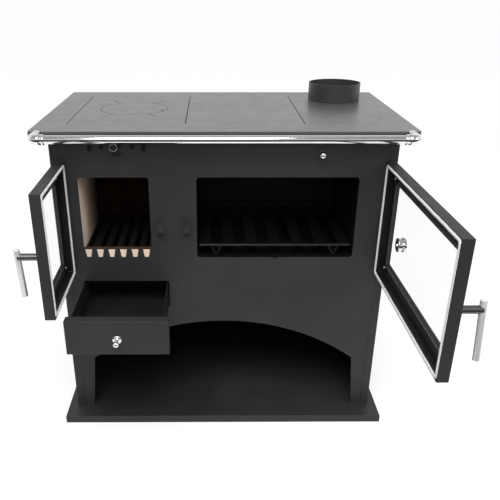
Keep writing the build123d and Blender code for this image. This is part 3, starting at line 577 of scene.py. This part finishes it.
def outward(points: Array, faces: list[Array]) -> list[Array]:
    """Turn the faces of a closed surface outwards by the sign of its volume.

    Args:
        points: N by 3 positions.
        faces: arrays of corner indices.

    Returns:
        The arrays, reversed where the volume came out negative.
    """
    volume = 0.0
    for corners in faces:
        for k in range(1, corners.shape[1] - 1):
            a, b, c = points[corners[:, 0]], points[corners[:, k]], points[corners[:, k + 1]]
            volume += float(np.einsum("ij,ij->i", a, np.cross(b, c)).sum())
    return [corners[:, ::-1] for corners in faces] if volume < 0 else faces


def swept(centres: Array, radii: Array, normal: Array,
          around: int = 48) -> tuple[Array, list[Array]]:
    """Closed surface of circles along a flat path.

    A point is centre(s) + radius(s) * (cos t * normal + sin t * binormal(s)), where the binormal is
    the path's direction crossed with the normal of its plane. A pole closes each end.

    Args:
        centres: N by 3 centres of the circles, repeated where only the radius changes.
        radii: N radii.
        normal: unit normal of the plane that the path lies in.
        around: points on a circle.

    Returns:
        The points, and arrays of four-cornered and three-cornered faces.
    """
    steps = np.diff(centres, axis=0)
    length = np.linalg.norm(steps, axis=1)
    span = centres[-1] - centres[0]
    ways = np.where(length[:, None] > TINY, steps / np.maximum(length, TINY)[:, None], 0.0)
    known = np.flatnonzero(length > TINY)
    index = np.arange(len(centres))
    before = ways[known[np.clip(np.searchsorted(known, index - 1, side="right") - 1, 0, len(known) - 1)]]
    after = ways[known[np.clip(np.searchsorted(known, index), 0, len(known) - 1)]]
    tangent = before + after + NUDGE * span
    tangent /= np.linalg.norm(tangent, axis=1)[:, None]
    binormal = np.cross(tangent, normal)
    t = np.linspace(0, 2 * math.pi, around, endpoint=False)
    spokes = np.cos(t)[None, :, None] * normal + np.sin(t)[None, :, None] * binormal[:, None, :]
    rings = centres[:, None, :] + radii[:, None, None] * spokes
    points = np.concatenate([rings.reshape(-1, 3), centres[:1], centres[-1:]])
    count = len(centres) * around
    j = np.arange(around)
    j2 = (j + 1) % around
    start = np.stack([np.full(around, count), j, j2], axis=1)
    last = count - around
    end = np.stack([np.full(around, count + 1), last + j2, last + j], axis=1)
    quads = grid_faces(len(centres), around, False, True)
    return points, outward(points, [quads, np.concatenate([start, end])])


def bar_profile(length: float, radius: float, bevel: float,
                flat: float = 0.9) -> tuple[Array, Array]:
    """Stations and radii of a round bar with rounded ends.

    Args:
        length: full length.
        radius: radius.
        bevel: radius of the rounding at both ends.
        flat: share of the end face that stays quite flat.

    Returns:
        Distances from the start, and radii.
    """
    k = np.linspace(0, math.pi / 2, ROUNDING_STEPS)
    along = np.concatenate([[0.0], bevel * (1 - np.cos(k))])
    radii = np.concatenate([[(radius - bevel) * flat], radius - bevel * (1 - np.sin(k))])
    return np.concatenate([along, length - along[::-1]]), np.concatenate([radii, radii[::-1]])


def new_piece(name: str, points: Array, faces: list[Array], material: Material,
              body: str, smooth: bool = True) -> bpy.types.Object:
    """Make a mesh object from arrays and let it ride on a body.

    Args:
        name: object name.
        points: N by 3 positions in metres.
        faces: arrays of corner indices.
        material: the finish.
        body: the moving body that carries it.
        smooth: shade it smooth.

    Returns:
        The new object.
    """
    mesh = bpy.data.meshes.new(name)
    mesh.from_pydata(points.tolist(), [], [face for corners in faces for face in corners.tolist()])
    mesh.materials.append(material)
    mesh.polygons.foreach_set("use_smooth", np.full(len(mesh.polygons), smooth))
    mesh.update()
    piece = bpy.data.objects.new(name, mesh)
    bpy.context.scene.collection.objects.link(piece)
    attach(piece, body)
    log.info("%s: %d faces on %s", name, len(mesh.polygons), body)
    return piece


@dataclass
class Studio:
    """Camera as in the photograph, a pale floor and soft light."""

    eye: Triple = (-0.02518, -1.68979, 1.04398)
    pitch: float = 27.649
    yaw: float = -0.4374
    roll: float = 0.0867
    lens: float = 47.484
    sensor: float = 36.0
    shift: tuple[float, float] = (0.0643, 0.1436)
    floor_half: float = 60.0
    floor_colour: Colour = (0.36, 0.36, 0.36)
    floor_lift: float = 0.7
    reflected_dark_reach: tuple[float, float] = (1.1, 1.25)
    reflected_dark_colour: Colour = (0.02, 0.02, 0.02)
    clip: tuple[float, float] = (0.05, 400.0)
    sky: Stops = ((-0.1, 0.22), (0.25, 0.352), (0.75, 0.95), (1.0, 1.0))
    gloss_front: Stops = ((-0.02, 0.03), (0.1, 0.03), (0.13, 1.0), (0.27, 1.0), (0.33, 0.4), (0.8, 0.3),
                          (1.0, 0.48))
    gloss_rear: Stops = ((0.0, 0.95), (0.5, 0.9), (0.9, 0.4), (1.0, 0.48))
    rear_from: float = -0.05
    rear_to: float = 0.1

    def camera(self) -> None:
        """Stand the camera where the photograph was taken from."""
        data = bpy.data.cameras.new("camera")
        data.lens, data.sensor_width = self.lens, self.sensor
        data.shift_x, data.shift_y = self.shift
        data.clip_start, data.clip_end = self.clip
        camera = bpy.data.objects.new("camera", data)
        turn = (Matrix.Rotation(math.radians(self.yaw), 4, "Z")
                @ Matrix.Rotation(math.radians(90 - self.pitch), 4, "X")
                @ Matrix.Rotation(math.radians(self.roll), 4, "Z"))
        camera.matrix_world = Matrix.Translation(self.eye) @ turn
        bpy.context.scene.collection.objects.link(camera)
        bpy.context.scene.camera = camera

    def floor(self) -> None:
        """Lay a large pale floor that keeps the shadow and looks white to the camera; far ahead it shows dark
        only in reflections, a painted dark reflection for the plated parts.
        """
        half = self.floor_half
        points = np.array([(-half, -half, 0), (half, -half, 0), (half, half, 0), (-half, half, 0)], float)
        mesh = bpy.data.meshes.new("floor")
        mesh.from_pydata(points.tolist(), [], [(0, 1, 2, 3)])
        floor = bpy.data.objects.new("floor", mesh)
        bpy.context.scene.collection.objects.link(floor)
        graph = Graph("studio_floor")
        matt = graph.add("ShaderNodeBsdfDiffuse")
        speck = graph.span(graph.noise(3.0, 3.0), *NOISE_MOST)
        pale = graph.mix(speck, self.floor_colour, shade(self.floor_colour, 0.99))
        path = graph.add("ShaderNodeLightPath")
        # Painted reflection: far ahead of the stove the floor turns dark for glossy rays only, so the chrome
        # shows dark bands.
        ahead = graph.sums("MULTIPLY", graph.axis("Y"), -1.0)
        far = graph.span(ahead, *self.reflected_dark_reach)
        reflected_dark = graph.sums("MULTIPLY", far, path.outputs["Is Glossy Ray"])
        graph.join(graph.mix(reflected_dark, pale, self.reflected_dark_colour), matt.inputs["Color"])
        glow = graph.add("ShaderNodeEmission")
        lit = graph.sums("SUBTRACT", self.seen_directly(graph), reflected_dark)
        graph.join(graph.sums("MAXIMUM", lit, 0.0), glow.inputs["Strength"])
        both = graph.add("ShaderNodeAddShader")
        graph.join(matt.outputs[0], both.inputs[0])
        graph.join(glow.outputs[0], both.inputs[1])
        graph.join(both.outputs[0], graph.output.inputs["Surface"])
        mesh.materials.append(graph.material)

    def seen_directly(self, graph: Graph) -> Socket:
        """Lift of the floor for rays from the camera, from gloss and through glass."""
        path = graph.add("ShaderNodeLightPath")
        either = graph.sums("MAXIMUM", path.outputs["Is Camera Ray"], path.outputs["Is Glossy Ray"])
        either = graph.sums("MAXIMUM", either, path.outputs["Is Transmission Ray"])
        return graph.sums("MULTIPLY", either, self.floor_lift)

    def world(self) -> None:
        """White surroundings: full strength to the eye, brighter above, and banded in gloss."""
        world = bpy.data.worlds.new("studio")
        world.use_nodes = True
        tree = world.node_tree

        def ramp(source: Socket, stops: Stops) -> Socket:
            """Grey level by position, the positions running from -1 to 1."""
            spread = add_node(tree, "ShaderNodeMapRange")
            spread.inputs["From Min"].default_value = -1.0
            tree.links.new(source, spread.inputs["Value"])
            node = add_node(tree, "ShaderNodeValToRGB")
            elements = node.color_ramp.elements
            while len(elements) < len(stops):
                elements.new(0.5)
            for element, (place, grey) in zip(elements, stops):
                element.position = (place + 1) / 2
                element.color = (grey, grey, grey, 1.0)
            tree.links.new(spread.outputs["Result"], node.inputs["Fac"])
            return node.outputs["Color"]

        def blend(factor: Socket, low: Any, high: Any) -> Socket:
            """Mix two levels by a factor."""
            node = add_node(tree, "ShaderNodeMix")
            tree.links.new(factor, node.inputs[0])
            for index, value in ((2, low), (3, high)):
                if isinstance(value, float):
                    node.inputs[index].default_value = value
                else:
                    tree.links.new(value, node.inputs[index])
            return node.outputs[0]

        way = add_node(tree, "ShaderNodeSeparateXYZ")
        tree.links.new(add_node(tree, "ShaderNodeTexCoord").outputs["Generated"], way.inputs[0])
        path = add_node(tree, "ShaderNodeLightPath")
        soft, ahead, behind = (ramp(way.outputs["Z"], stops)
                               for stops in (self.sky, self.gloss_front, self.gloss_rear))
        rear = add_node(tree, "ShaderNodeMapRange")
        rear.inputs["From Min"].default_value = self.rear_from
        rear.inputs["From Max"].default_value = self.rear_to
        tree.links.new(way.outputs["Y"], rear.inputs["Value"])
        gloss = blend(rear.outputs["Result"], ahead, behind)
        level = blend(path.outputs["Is Glossy Ray"], soft, gloss)
        seen = add_node(tree, "ShaderNodeMath", operation="MAXIMUM")
        tree.links.new(path.outputs["Is Camera Ray"], seen.inputs[0])
        tree.links.new(path.outputs["Is Transmission Ray"], seen.inputs[1])
        tree.links.new(blend(seen.outputs[0], level, 1.0), tree.nodes["Background"].inputs["Strength"])
        tree.nodes["Background"].inputs["Color"].default_value = (1, 1, 1, 1)
        bpy.context.scene.world = world

    def lamp(self, name: str, place: Triple, aim: Triple, size: float, power: float) -> None:
        """Hang one square soft light.

        Args:
            name: object name.
            place: its centre.
            aim: the point it faces.
            size: side of the square.
            power: watts.
        """
        data = bpy.data.lights.new(name, "AREA")
        data.energy, data.size = power, size
        lamp = bpy.data.objects.new(name, data)
        lamp.location = place
        reach = np.array(aim) - np.array(place)
        yaw = math.atan2(reach[0], -reach[1])
        tilt = math.atan2(math.hypot(reach[0], reach[1]), -reach[2])
        lamp.rotation_euler = (tilt, 0.0, yaw + math.pi)
        bpy.context.scene.collection.objects.link(lamp)

    def build(self) -> None:
        """Set up the whole studio."""
        self.camera()
        self.floor()
        self.world()
        self.lamp("key_light", place=(-0.3, -2.3, 2.9), aim=(0.0, -0.2, 0.5), size=1.8, power=70.0)
        self.lamp("right_light", place=(2.6, -1.6, 1.9), aim=(0.0, -0.2, 0.4), size=1.2, power=16.0)
        bpy.context.scene.view_settings.view_transform = "Standard"


@dataclass(frozen=True)
class Braid:
    """Braid of the rope seal: strands that cross, and how finely its surface is divided."""

    pitch: float = 9.0 * MM
    around: int = 20
    depth: float = 0.16
    turns: float = 2.0
    step: float = 1.1 * MM
    crest: float = 0.7
    sway_rates: tuple[float, float] = (61.0, 137.0)
    sway_share: float = 0.6


@dataclass
class Door:
    """A glazed door, described in its own frame and set at its open angle.

    Across is the distance from the hinge edge, out is the distance from the seal's plane towards
    the outer skin, and up is the height.
    """

    word: str
    width: float
    bottom: float = 404.3 * MM
    top: float = 674.6 * MM
    thickness: float = 22.6 * MM
    hinge_inset: float = 5.0 * MM
    hinge_depth: float = 8.0 * MM
    seal_inset: float = 5.5 * MM
    seal_out: float = 0.3 * MM
    seal_half_width: float = 3.45 * MM
    seal_half_height: float = 2.95 * MM
    seal_corner: float = 6.0 * MM
    wave: float = 0.0
    braid: Braid = Braid()
    joint: dict[str, Any] = field(init=False)

    def __post_init__(self) -> None:
        """Find the door's hinge in the frame."""
        names = {j["name"]: j for j in frame["joints"]}
        self.joint = names[f"{self.word}_door_hinge"]

    @property
    def body(self) -> str:
        """Name of the body that the door's pieces ride on."""
        return f"{self.word}_door"

    @property
    def side(self) -> float:
        """1 for a door hinged on the right, -1 for one hinged on the left."""
        return float(self.joint["axis"][2])

    def place(self, across: Array, out: Array, up: Array) -> Array:
        """Points of the door in the object's frame.

        The shut door's point is (hinge - side * across, seal plane - out, up); it is then turned
        about the hinge line by the open angle.

        Args:
            across: distances from the hinge edge.
            out: distances from the seal's plane towards the skin.
            up: heights.

        Returns:
            N by 3 positions.
        """
        pivot = np.array(self.joint["pos_m"])
        x = self.side * (self.hinge_inset - across)
        y = self.hinge_depth - out
        turn = -self.side * math.radians(self.joint["range_deg"][0])
        cos, sin = math.cos(turn), math.sin(turn)
        flat = np.stack([x * cos - y * sin + pivot[0], x * sin + y * cos + pivot[1], up + 0 * x], axis=-1)
        return flat.reshape(-1, 3)

    def loop(self, count: int, inset: float,
             corner: float) -> tuple[Array, Array, Array, float]:
        """Rounded rectangle in the plane of the door, at an inset from its outline.

        The path length s runs over four straight sides and four quarter circles. On a side the
        point is the side's start plus s times its direction, and on a corner it is the corner's
        centre plus the radius times (cos, sin) of the turn so far.

        Args:
            count: number of points.
            inset: distance from the door's edge.
            corner: radius of the corners.

        Returns:
            Point across and up, the outward direction as an angle, and the whole length.
        """
        half_w = self.width / 2 - inset - corner
        half_h = (self.top - self.bottom) / 2 - inset - corner
        sides = np.array([2 * half_h, 2 * half_w, 2 * half_h, 2 * half_w])
        arc = corner * math.pi / 2
        total = sides.sum() + 4 * arc
        s = np.linspace(0, total, count, endpoint=False)
        starts = np.concatenate([[0], np.cumsum(sides + arc)])[:4]
        leg = np.clip(np.searchsorted(starts, s, side="right") - 1, 0, 3)
        along = s - starts[leg]
        straight = np.minimum(along, sides[leg])
        turn = np.maximum(along - sides[leg], 0) / corner
        angle = leg * math.pi / 2 + turn
        centre_x = np.array([half_w, half_w, -half_w, -half_w])[leg]
        centre_y = np.array([-half_h, half_h, half_h, -half_h])[leg]
        way_x, way_y = -np.sin(leg * math.pi / 2), np.cos(leg * math.pi / 2)
        x = centre_x + straight * way_x + corner * np.cos(angle)
        y = centre_y + straight * way_y + corner * np.sin(angle)
        return x + self.width / 2, y + (self.top + self.bottom) / 2, angle, total

    def seal(self, material: Material) -> None:
        """Braided rope seal in the door's channel.

        The surface is path(s) + (a cos t, b sin t) * (1 + d * (braid - 1)), where braid is the higher
        of two families of strands |cos(2 t + w s)| and |cos(2 t - w s)| that cross each other.

        Args:
            material: the rope's finish.
        """
        rope = self.braid
        count = int((self.width + self.top - self.bottom) * 2 / rope.step)
        across, up, angle, total = self.loop(count, self.seal_inset, self.seal_corner)
        s = np.linspace(0, total, count, endpoint=False)
        waves = round(total / rope.pitch)
        phase = 2 * math.pi * waves * s / total
        t = np.linspace(0, 2 * math.pi, rope.around, endpoint=False)
        tt, pp = t[None, :], phase[:, None]
        braid = np.maximum(np.abs(np.cos(rope.turns * tt + pp / 2)), np.abs(np.cos(rope.turns * tt - pp / 2)))
        braid = np.clip((braid - rope.crest) / (1 - rope.crest), 0, 1)
        swell = 1 + rope.depth * (braid - 1)
        slow, fast = rope.sway_rates
        sway = self.wave * (np.sin(s * slow) + rope.sway_share * np.sin(s * fast + 1.0))
        side_way = self.seal_half_width * np.cos(tt) * swell + sway[:, None]
        height = self.seal_half_height * np.sin(tt) * swell
        xs = across[:, None] + np.cos(angle)[:, None] * side_way
        ys = up[:, None] + np.sin(angle)[:, None] * side_way
        outs = self.seal_out + height
        points = self.place(xs, outs, ys)
        faces = outward(points, [grid_faces(count, rope.around, True, True)])
        piece = new_piece(f"{self.word}_door_rope", points, faces, material, self.body)
        store = piece.data.attributes.new(BRAID, "FLOAT", "POINT")
        store.data.foreach_set("value", braid.ravel().astype(np.float32))
        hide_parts(f"{self.word}_door_gasket")


@dataclass
class Thermometer:
    """Marks on the dial of the oven thermometer."""

    door: Door
    across: float = 125.0 * MM
    up: float = 526.0 * MM
    dial_out: float = 24.15 * MM
    tick_in: float = 10.4 * MM
    tick_out: float = 13.2 * MM
    minor_short: float = 1.6 * MM
    major_half: float = 0.35 * MM
    minor_half: float = 0.18 * MM
    minor: int = 30
    every: int = 5
    sweep: float = 240.0

    def ticks(self, material: Material) -> None:
        """Raised marks round the dial.

        Each mark is a thin quad from radius r0 to r1 at angle a, its corners r (sin a, cos a) plus
        and minus half its width across.

        Args:
            material: the printed black.
        """
        number = np.arange(self.minor + 1)
        angle = np.radians(-self.sweep / 2 + self.sweep * number / self.minor)
        major = number % self.every == 0
        inner = np.where(major, self.tick_in, self.tick_in + self.minor_short)
        half = np.where(major, self.major_half, self.minor_half)
        ray = np.stack([np.sin(angle), np.cos(angle)], axis=1)
        across_ray = np.stack([np.cos(angle), -np.sin(angle)], axis=1)
        corners = [inner[:, None] * ray - half[:, None] * across_ray,
                   self.tick_out * ray - half[:, None] * across_ray,
                   self.tick_out * ray + half[:, None] * across_ray,
                   inner[:, None] * ray + half[:, None] * across_ray]
        flat = np.stack(corners, axis=1).reshape(-1, 2)
        out = np.full(len(flat), self.dial_out)
        points = self.door.place(self.across + flat[:, 0], out, self.up + flat[:, 1])
        faces = np.arange(len(flat)).reshape(-1, 4)
        outer = self.door.place(np.zeros(2), np.array([0.0, 1.0]), np.zeros(2))
        facing = np.cross(points[1] - points[0], points[2] - points[1]) @ (outer[1] - outer[0])
        faces = faces if facing > 0 else faces[:, ::-1]
        piece = new_piece("thermometer_ticks", points, [faces], material, self.door.body, smooth=False)


@dataclass
class Handle:
    """Hanging round bar on a post, standing out from a door's skin."""

    door: Door
    tilt: float
    inset: float = 20.0 * MM
    reach: float = 43.0 * MM
    above: float = 17.0 * MM
    below: float = 94.0 * MM
    bar_radius: float = 6.5 * MM
    bevel: float = 1.0 * MM

    def bar(self, material: Material) -> None:
        """Smooth bar: circles along its tilted axis, the ends rounded.

        Args:
            material: the bar's finish.
        """
        door = self.door
        along, radii = bar_profile(self.above + self.below, self.bar_radius, self.bevel)
        shift = self.above - along
        turn = math.radians(self.tilt)
        across = door.width - self.inset + shift * math.sin(turn)
        up = (door.bottom + door.top) / 2 + shift * math.cos(turn)
        out = np.full(len(shift), door.thickness + self.reach)
        centres = door.place(across, out, up)
        normal = door.place(np.zeros(2), np.array([0.0, 1.0]), np.zeros(2))
        points, faces = swept(centres, radii, normal[1] - normal[0])
        word = door.word
        piece = new_piece(f"{word}_bar", points, faces, material, f"{word}_handle")
        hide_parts(f"{word}_handle_bar")


@dataclass
class Rail:
    """Plated towel rail with its two end brackets."""

    end: float = 400.0 * MM
    radius: float = 9.0 * MM
    sleeve: float = 11.2 * MM
    sleeve_start: float = 380.0 * MM
    elbow: float = 404.8 * MM
    groove_start: float = 4.0 * MM
    groove_width: float = 1.5 * MM
    groove_depth: float = 0.8 * MM
    bevel: float = 0.8 * MM
    bend_share: float = 1.02
    tube_around: int = 96
    sleeve_around: int = 64

    def axis(self) -> tuple[float, float, float]:
        """Y and Z of the rail's axis and Y of the hob's front face."""
        low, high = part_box("rail_tube")
        arm_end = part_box("rail_bracket_left")[1][1]
        return (low[1] + high[1]) / 2, (low[2] + high[2]) / 2, arm_end

    def tube(self, material: Material) -> None:
        """Straight round tube.

        Args:
            material: the plating.
        """
        y, z, _ = self.axis()
        along, radii = bar_profile(2 * self.end, self.radius, self.bevel)
        centres = np.stack([along - self.end, 0 * along + y, 0 * along + z], axis=1)
        points, faces = swept(centres, radii, UPWARDS, self.tube_around)
        piece = new_piece("rail", points, faces, material, "stove_body")
        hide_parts("rail_tube")

    def bracket(self, side: Side, material: Material) -> None:
        """Sleeve with a groove, an elbow and an arm back to the hob.

        The path runs straight to the elbow, turns through a quarter circle of the sleeve's radius
        and runs straight back; the radius dips at the groove.

        Args:
            side: the end of the rail.
            material: the plating.
        """
        y, z, wall = self.axis()
        bend = self.sleeve * self.bend_share
        k = np.linspace(0, math.pi / 2, ELBOW_STEPS)
        bevel = np.linspace(0, math.pi / 2, ROUNDING_STEPS)
        lip = self.bevel * (1 - np.cos(bevel))
        g0, g1 = self.groove_start, self.groove_start + self.groove_width
        step = self.groove_depth / 2
        straight = np.concatenate([[0.0], lip, [g0 - step, g0, g1, g1 + step]])
        x_straight = self.sleeve_start + straight
        x_turn = self.elbow - bend + bend * np.sin(k)
        y_turn = y + bend * (1 - np.cos(k))
        x = np.concatenate([x_straight, x_turn, [self.elbow]])
        ys = np.concatenate([np.full(len(straight), y), y_turn, [wall]])
        dip = self.sleeve - self.groove_depth
        radii = np.concatenate([[self.radius], self.sleeve - self.bevel * (1 - np.sin(bevel)),
                                [self.sleeve, dip, dip, self.sleeve], np.full(len(k) + 1, self.sleeve)])
        centres = np.stack([side.value * x, ys, np.full(len(x), z)], axis=1)
        points, faces = swept(centres, radii, UPWARDS, self.sleeve_around)
        word = side.name.lower()
        piece = new_piece(f"bracket_{word}", points, faces, material, "stove_body")
        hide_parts(f"rail_bracket_{word}")


@dataclass
class BallKnob:
    """Turned knob whose axis runs to the front."""

    node: str
    body: str
    ball: float
    stem: float
    foot: float = 0.0
    foot_height: float = 0.0
    foot_wall: float = 0.7
    foot_top: float = 0.93
    front_share: float = 0.985
    ball_steps: int = 28
    around: int = 56

    def build(self, material: Material) -> None:
        """Surface of revolution: foot plate, stem and ball.

        The ball's radius at the distance d in front of its centre is the root of ball^2 - d^2.

        Args:
            material: the plating.
        """
        low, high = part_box(self.node)
        x, z = (low[0] + high[0]) / 2, (low[2] + high[2]) / 2
        centre = low[1] + self.ball
        neck = math.asin(min(1.0, self.stem / self.ball))
        k = np.linspace(neck, math.pi * self.front_share, self.ball_steps)
        ball_y, ball_r = centre + self.ball * np.cos(k), self.ball * np.sin(k)
        foot_y = high[1] - self.foot_height * np.array([0.0, self.foot_wall, 1.0])
        foot_r = self.foot * np.array([1.0, 1.0, self.foot_top])
        if self.foot == 0.0:
            foot_y, foot_r = np.array([high[1]]), np.array([self.stem])
        neck_y = np.array([foot_y[-1], ball_y[0]])
        ys = np.concatenate([foot_y, neck_y, ball_y])
        radii = np.concatenate([foot_r, np.full(2, self.stem), ball_r])
        centres = np.stack([0 * ys + x, ys, 0 * ys + z], axis=1)
        points, faces = swept(centres, radii, UPWARDS, self.around)
        piece = new_piece(f"{self.node}_turned", points, faces, material, self.body)
        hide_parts(self.node)


class Finish(Protocol):
    """Anything that can build a material."""

    def material(self) -> Material:
        """Build the material."""


def made(finish: Finish) -> Any:
    """Field of a dataclass that starts as the material of a finish."""
    return field(default_factory=finish.material)


@dataclass
class Finishes:
    """Every finish of the object, each made once and in this order."""

    body: Material = made(SheetPaint("charcoal_paint", (0.025, 0.025, 0.0255)))
    liner: Material = made(SheetPaint("heat_black", (0.008, 0.008, 0.008), 0.38))
    # Painted shade: the inside pieces wear a darker copy of the body's paint, standing in for the shade in
    # the recesses.
    inner: Material = made(SheetPaint("inner_sheet_painted_shade", (0.01, 0.01, 0.01), 0.65, specular=0.25))
    drawer: Material = made(SheetPaint("drawer_black", (0.012, 0.012, 0.012), 0.6, specular=0.25))
    enamel: Material = made(SheetPaint("oven_enamel", (0.005, 0.005, 0.005), 0.4, specular=0.3))
    hob: Material = made(RolledPlate("cooking_plate", (0.135, 0.135, 0.135)))
    rim: Material = made(SheetPaint("rim_paint", (0.05, 0.05, 0.053), 0.5))
    collar: Material = made(SheetPaint("collar_paint", (0.032, 0.032, 0.033), 0.4, specular=0.5))
    chrome: Material = made(PolishedMetal("chrome"))
    grey_chrome: Material = made(PolishedMetal("grey_chrome", (0.55, 0.56, 0.58), 0.16))
    dark_steel: Material = made(BrushedMetal("dark_steel", (0.16, 0.16, 0.165), 0.35))
    plated: Material = made(BrushedMetal("plated_steel", (0.6, 0.61, 0.62), 0.28, (1.0, 1.0, 1.0)))
    stainless: Material = made(BrushedMetal("stainless", (0.8, 0.8, 0.8), 0.28, metallic=0.45))
    brick: Material = made(FireBrick("fire_clay"))
    casting: Material = made(CastBlack("iron_casting"))
    pane: Material = made(ClearPane("heat_glass"))
    rope: Material = made(FibreRope("fibre_rope"))
    dial: Material = made(SheetPaint("dial_white", (0.85, 0.85, 0.83), 0.45, 0.02, 0.00001))
    print_black: Material = made(SheetPaint("print_black", (0.02, 0.02, 0.02), 0.5, peel=0.00001))


def dress_stove(finish: Finishes) -> None:
    """Give every carried-over piece its finish.

    Args:
        finish: the finishes.
    """
    dress(finish.body, "base_plate", "side_panel_left", "side_panel_right", "front_panel", "drawer_front",
          "latch_keepers", "door_hinges")
    # Painted shade: the inside pieces get the darker copy of the body's paint.
    dress(finish.inner, "base_stiffener", "back_panel", "floor_pan", "divider_plate", "firebox_shell",
          "ash_chute", "drawer_runners", "rear_baffle", "lid_seat_ring", "air_slide", "damper_rod",
          "damper_plate")
    dress(finish.drawer, "drawer_box")
    dress(finish.enamel, "oven_box", "oven_shelf")
    dress(finish.hob, "hob_plate", "hob_lid", "flue_blanking_disc")
    dress(finish.rim, "hob_frame")
    dress(finish.collar, "flue_collar")
    dress(finish.chrome, "rail_tube", "rail_bracket_left", "rail_bracket_right", "damper_knob", "drawer_knob",
          "thermometer_case")
    dress(finish.grey_chrome, "air_knob")
    dress(finish.dark_steel, "damper_bushes")
    dress(finish.brick, *(f"firebrick_{place}" for place in ("left", "right", "back", "front")))
    dress(finish.casting, "grate")
    dress(finish.dial, "thermometer_dial")
    dress(finish.print_black, "thermometer_pointer")
    for word in ("fire", "oven"):
        door = f"{word}_door"
        dress(finish.body, f"{door}_frame")
        dress(finish.liner, f"{door}_liner", f"{door}_clips")
        dress(finish.pane, f"{door}_glass")
        dress(finish.rope, f"{door}_gasket")
        dress(finish.plated, f"{door}_screws", f"{word}_latch_tongue")
        dress(finish.dark_steel, f"{word}_handle_post")
        dress(finish.stainless, f"{word}_handle_bar")
    log.info("%d carried-over pieces dressed", len(frame["nodes"]))


def main() -> None:
    """Build the studio, dress the pieces and add the new ones."""
    logging.basicConfig(level=logging.INFO, format="%(message)s")
    Studio().build()
    finish = Finishes()
    dress_stove(finish)
    fire = Door("fire", width=243.0 * MM)
    oven = Door("oven", width=486.0 * MM, wave=0.25 * MM)
    for door in (fire, oven):
        door.seal(finish.rope)
    Thermometer(oven).ticks(finish.print_black)
    Handle(fire, tilt=8.5, inset=19.0 * MM).bar(finish.stainless)
    Handle(oven, tilt=-8.5).bar(finish.stainless)
    rail = Rail()
    rail.tube(finish.chrome)
    for side in Side:
        rail.bracket(side, finish.chrome)
    knob = BallKnob("drawer_knob", "ash_drawer", ball=7.0 * MM, stem=3.0 * MM, foot=10.0 * MM,
                    foot_height=2.0 * MM)
    knob.build(finish.chrome)


if __name__ == "__main__":
    main()
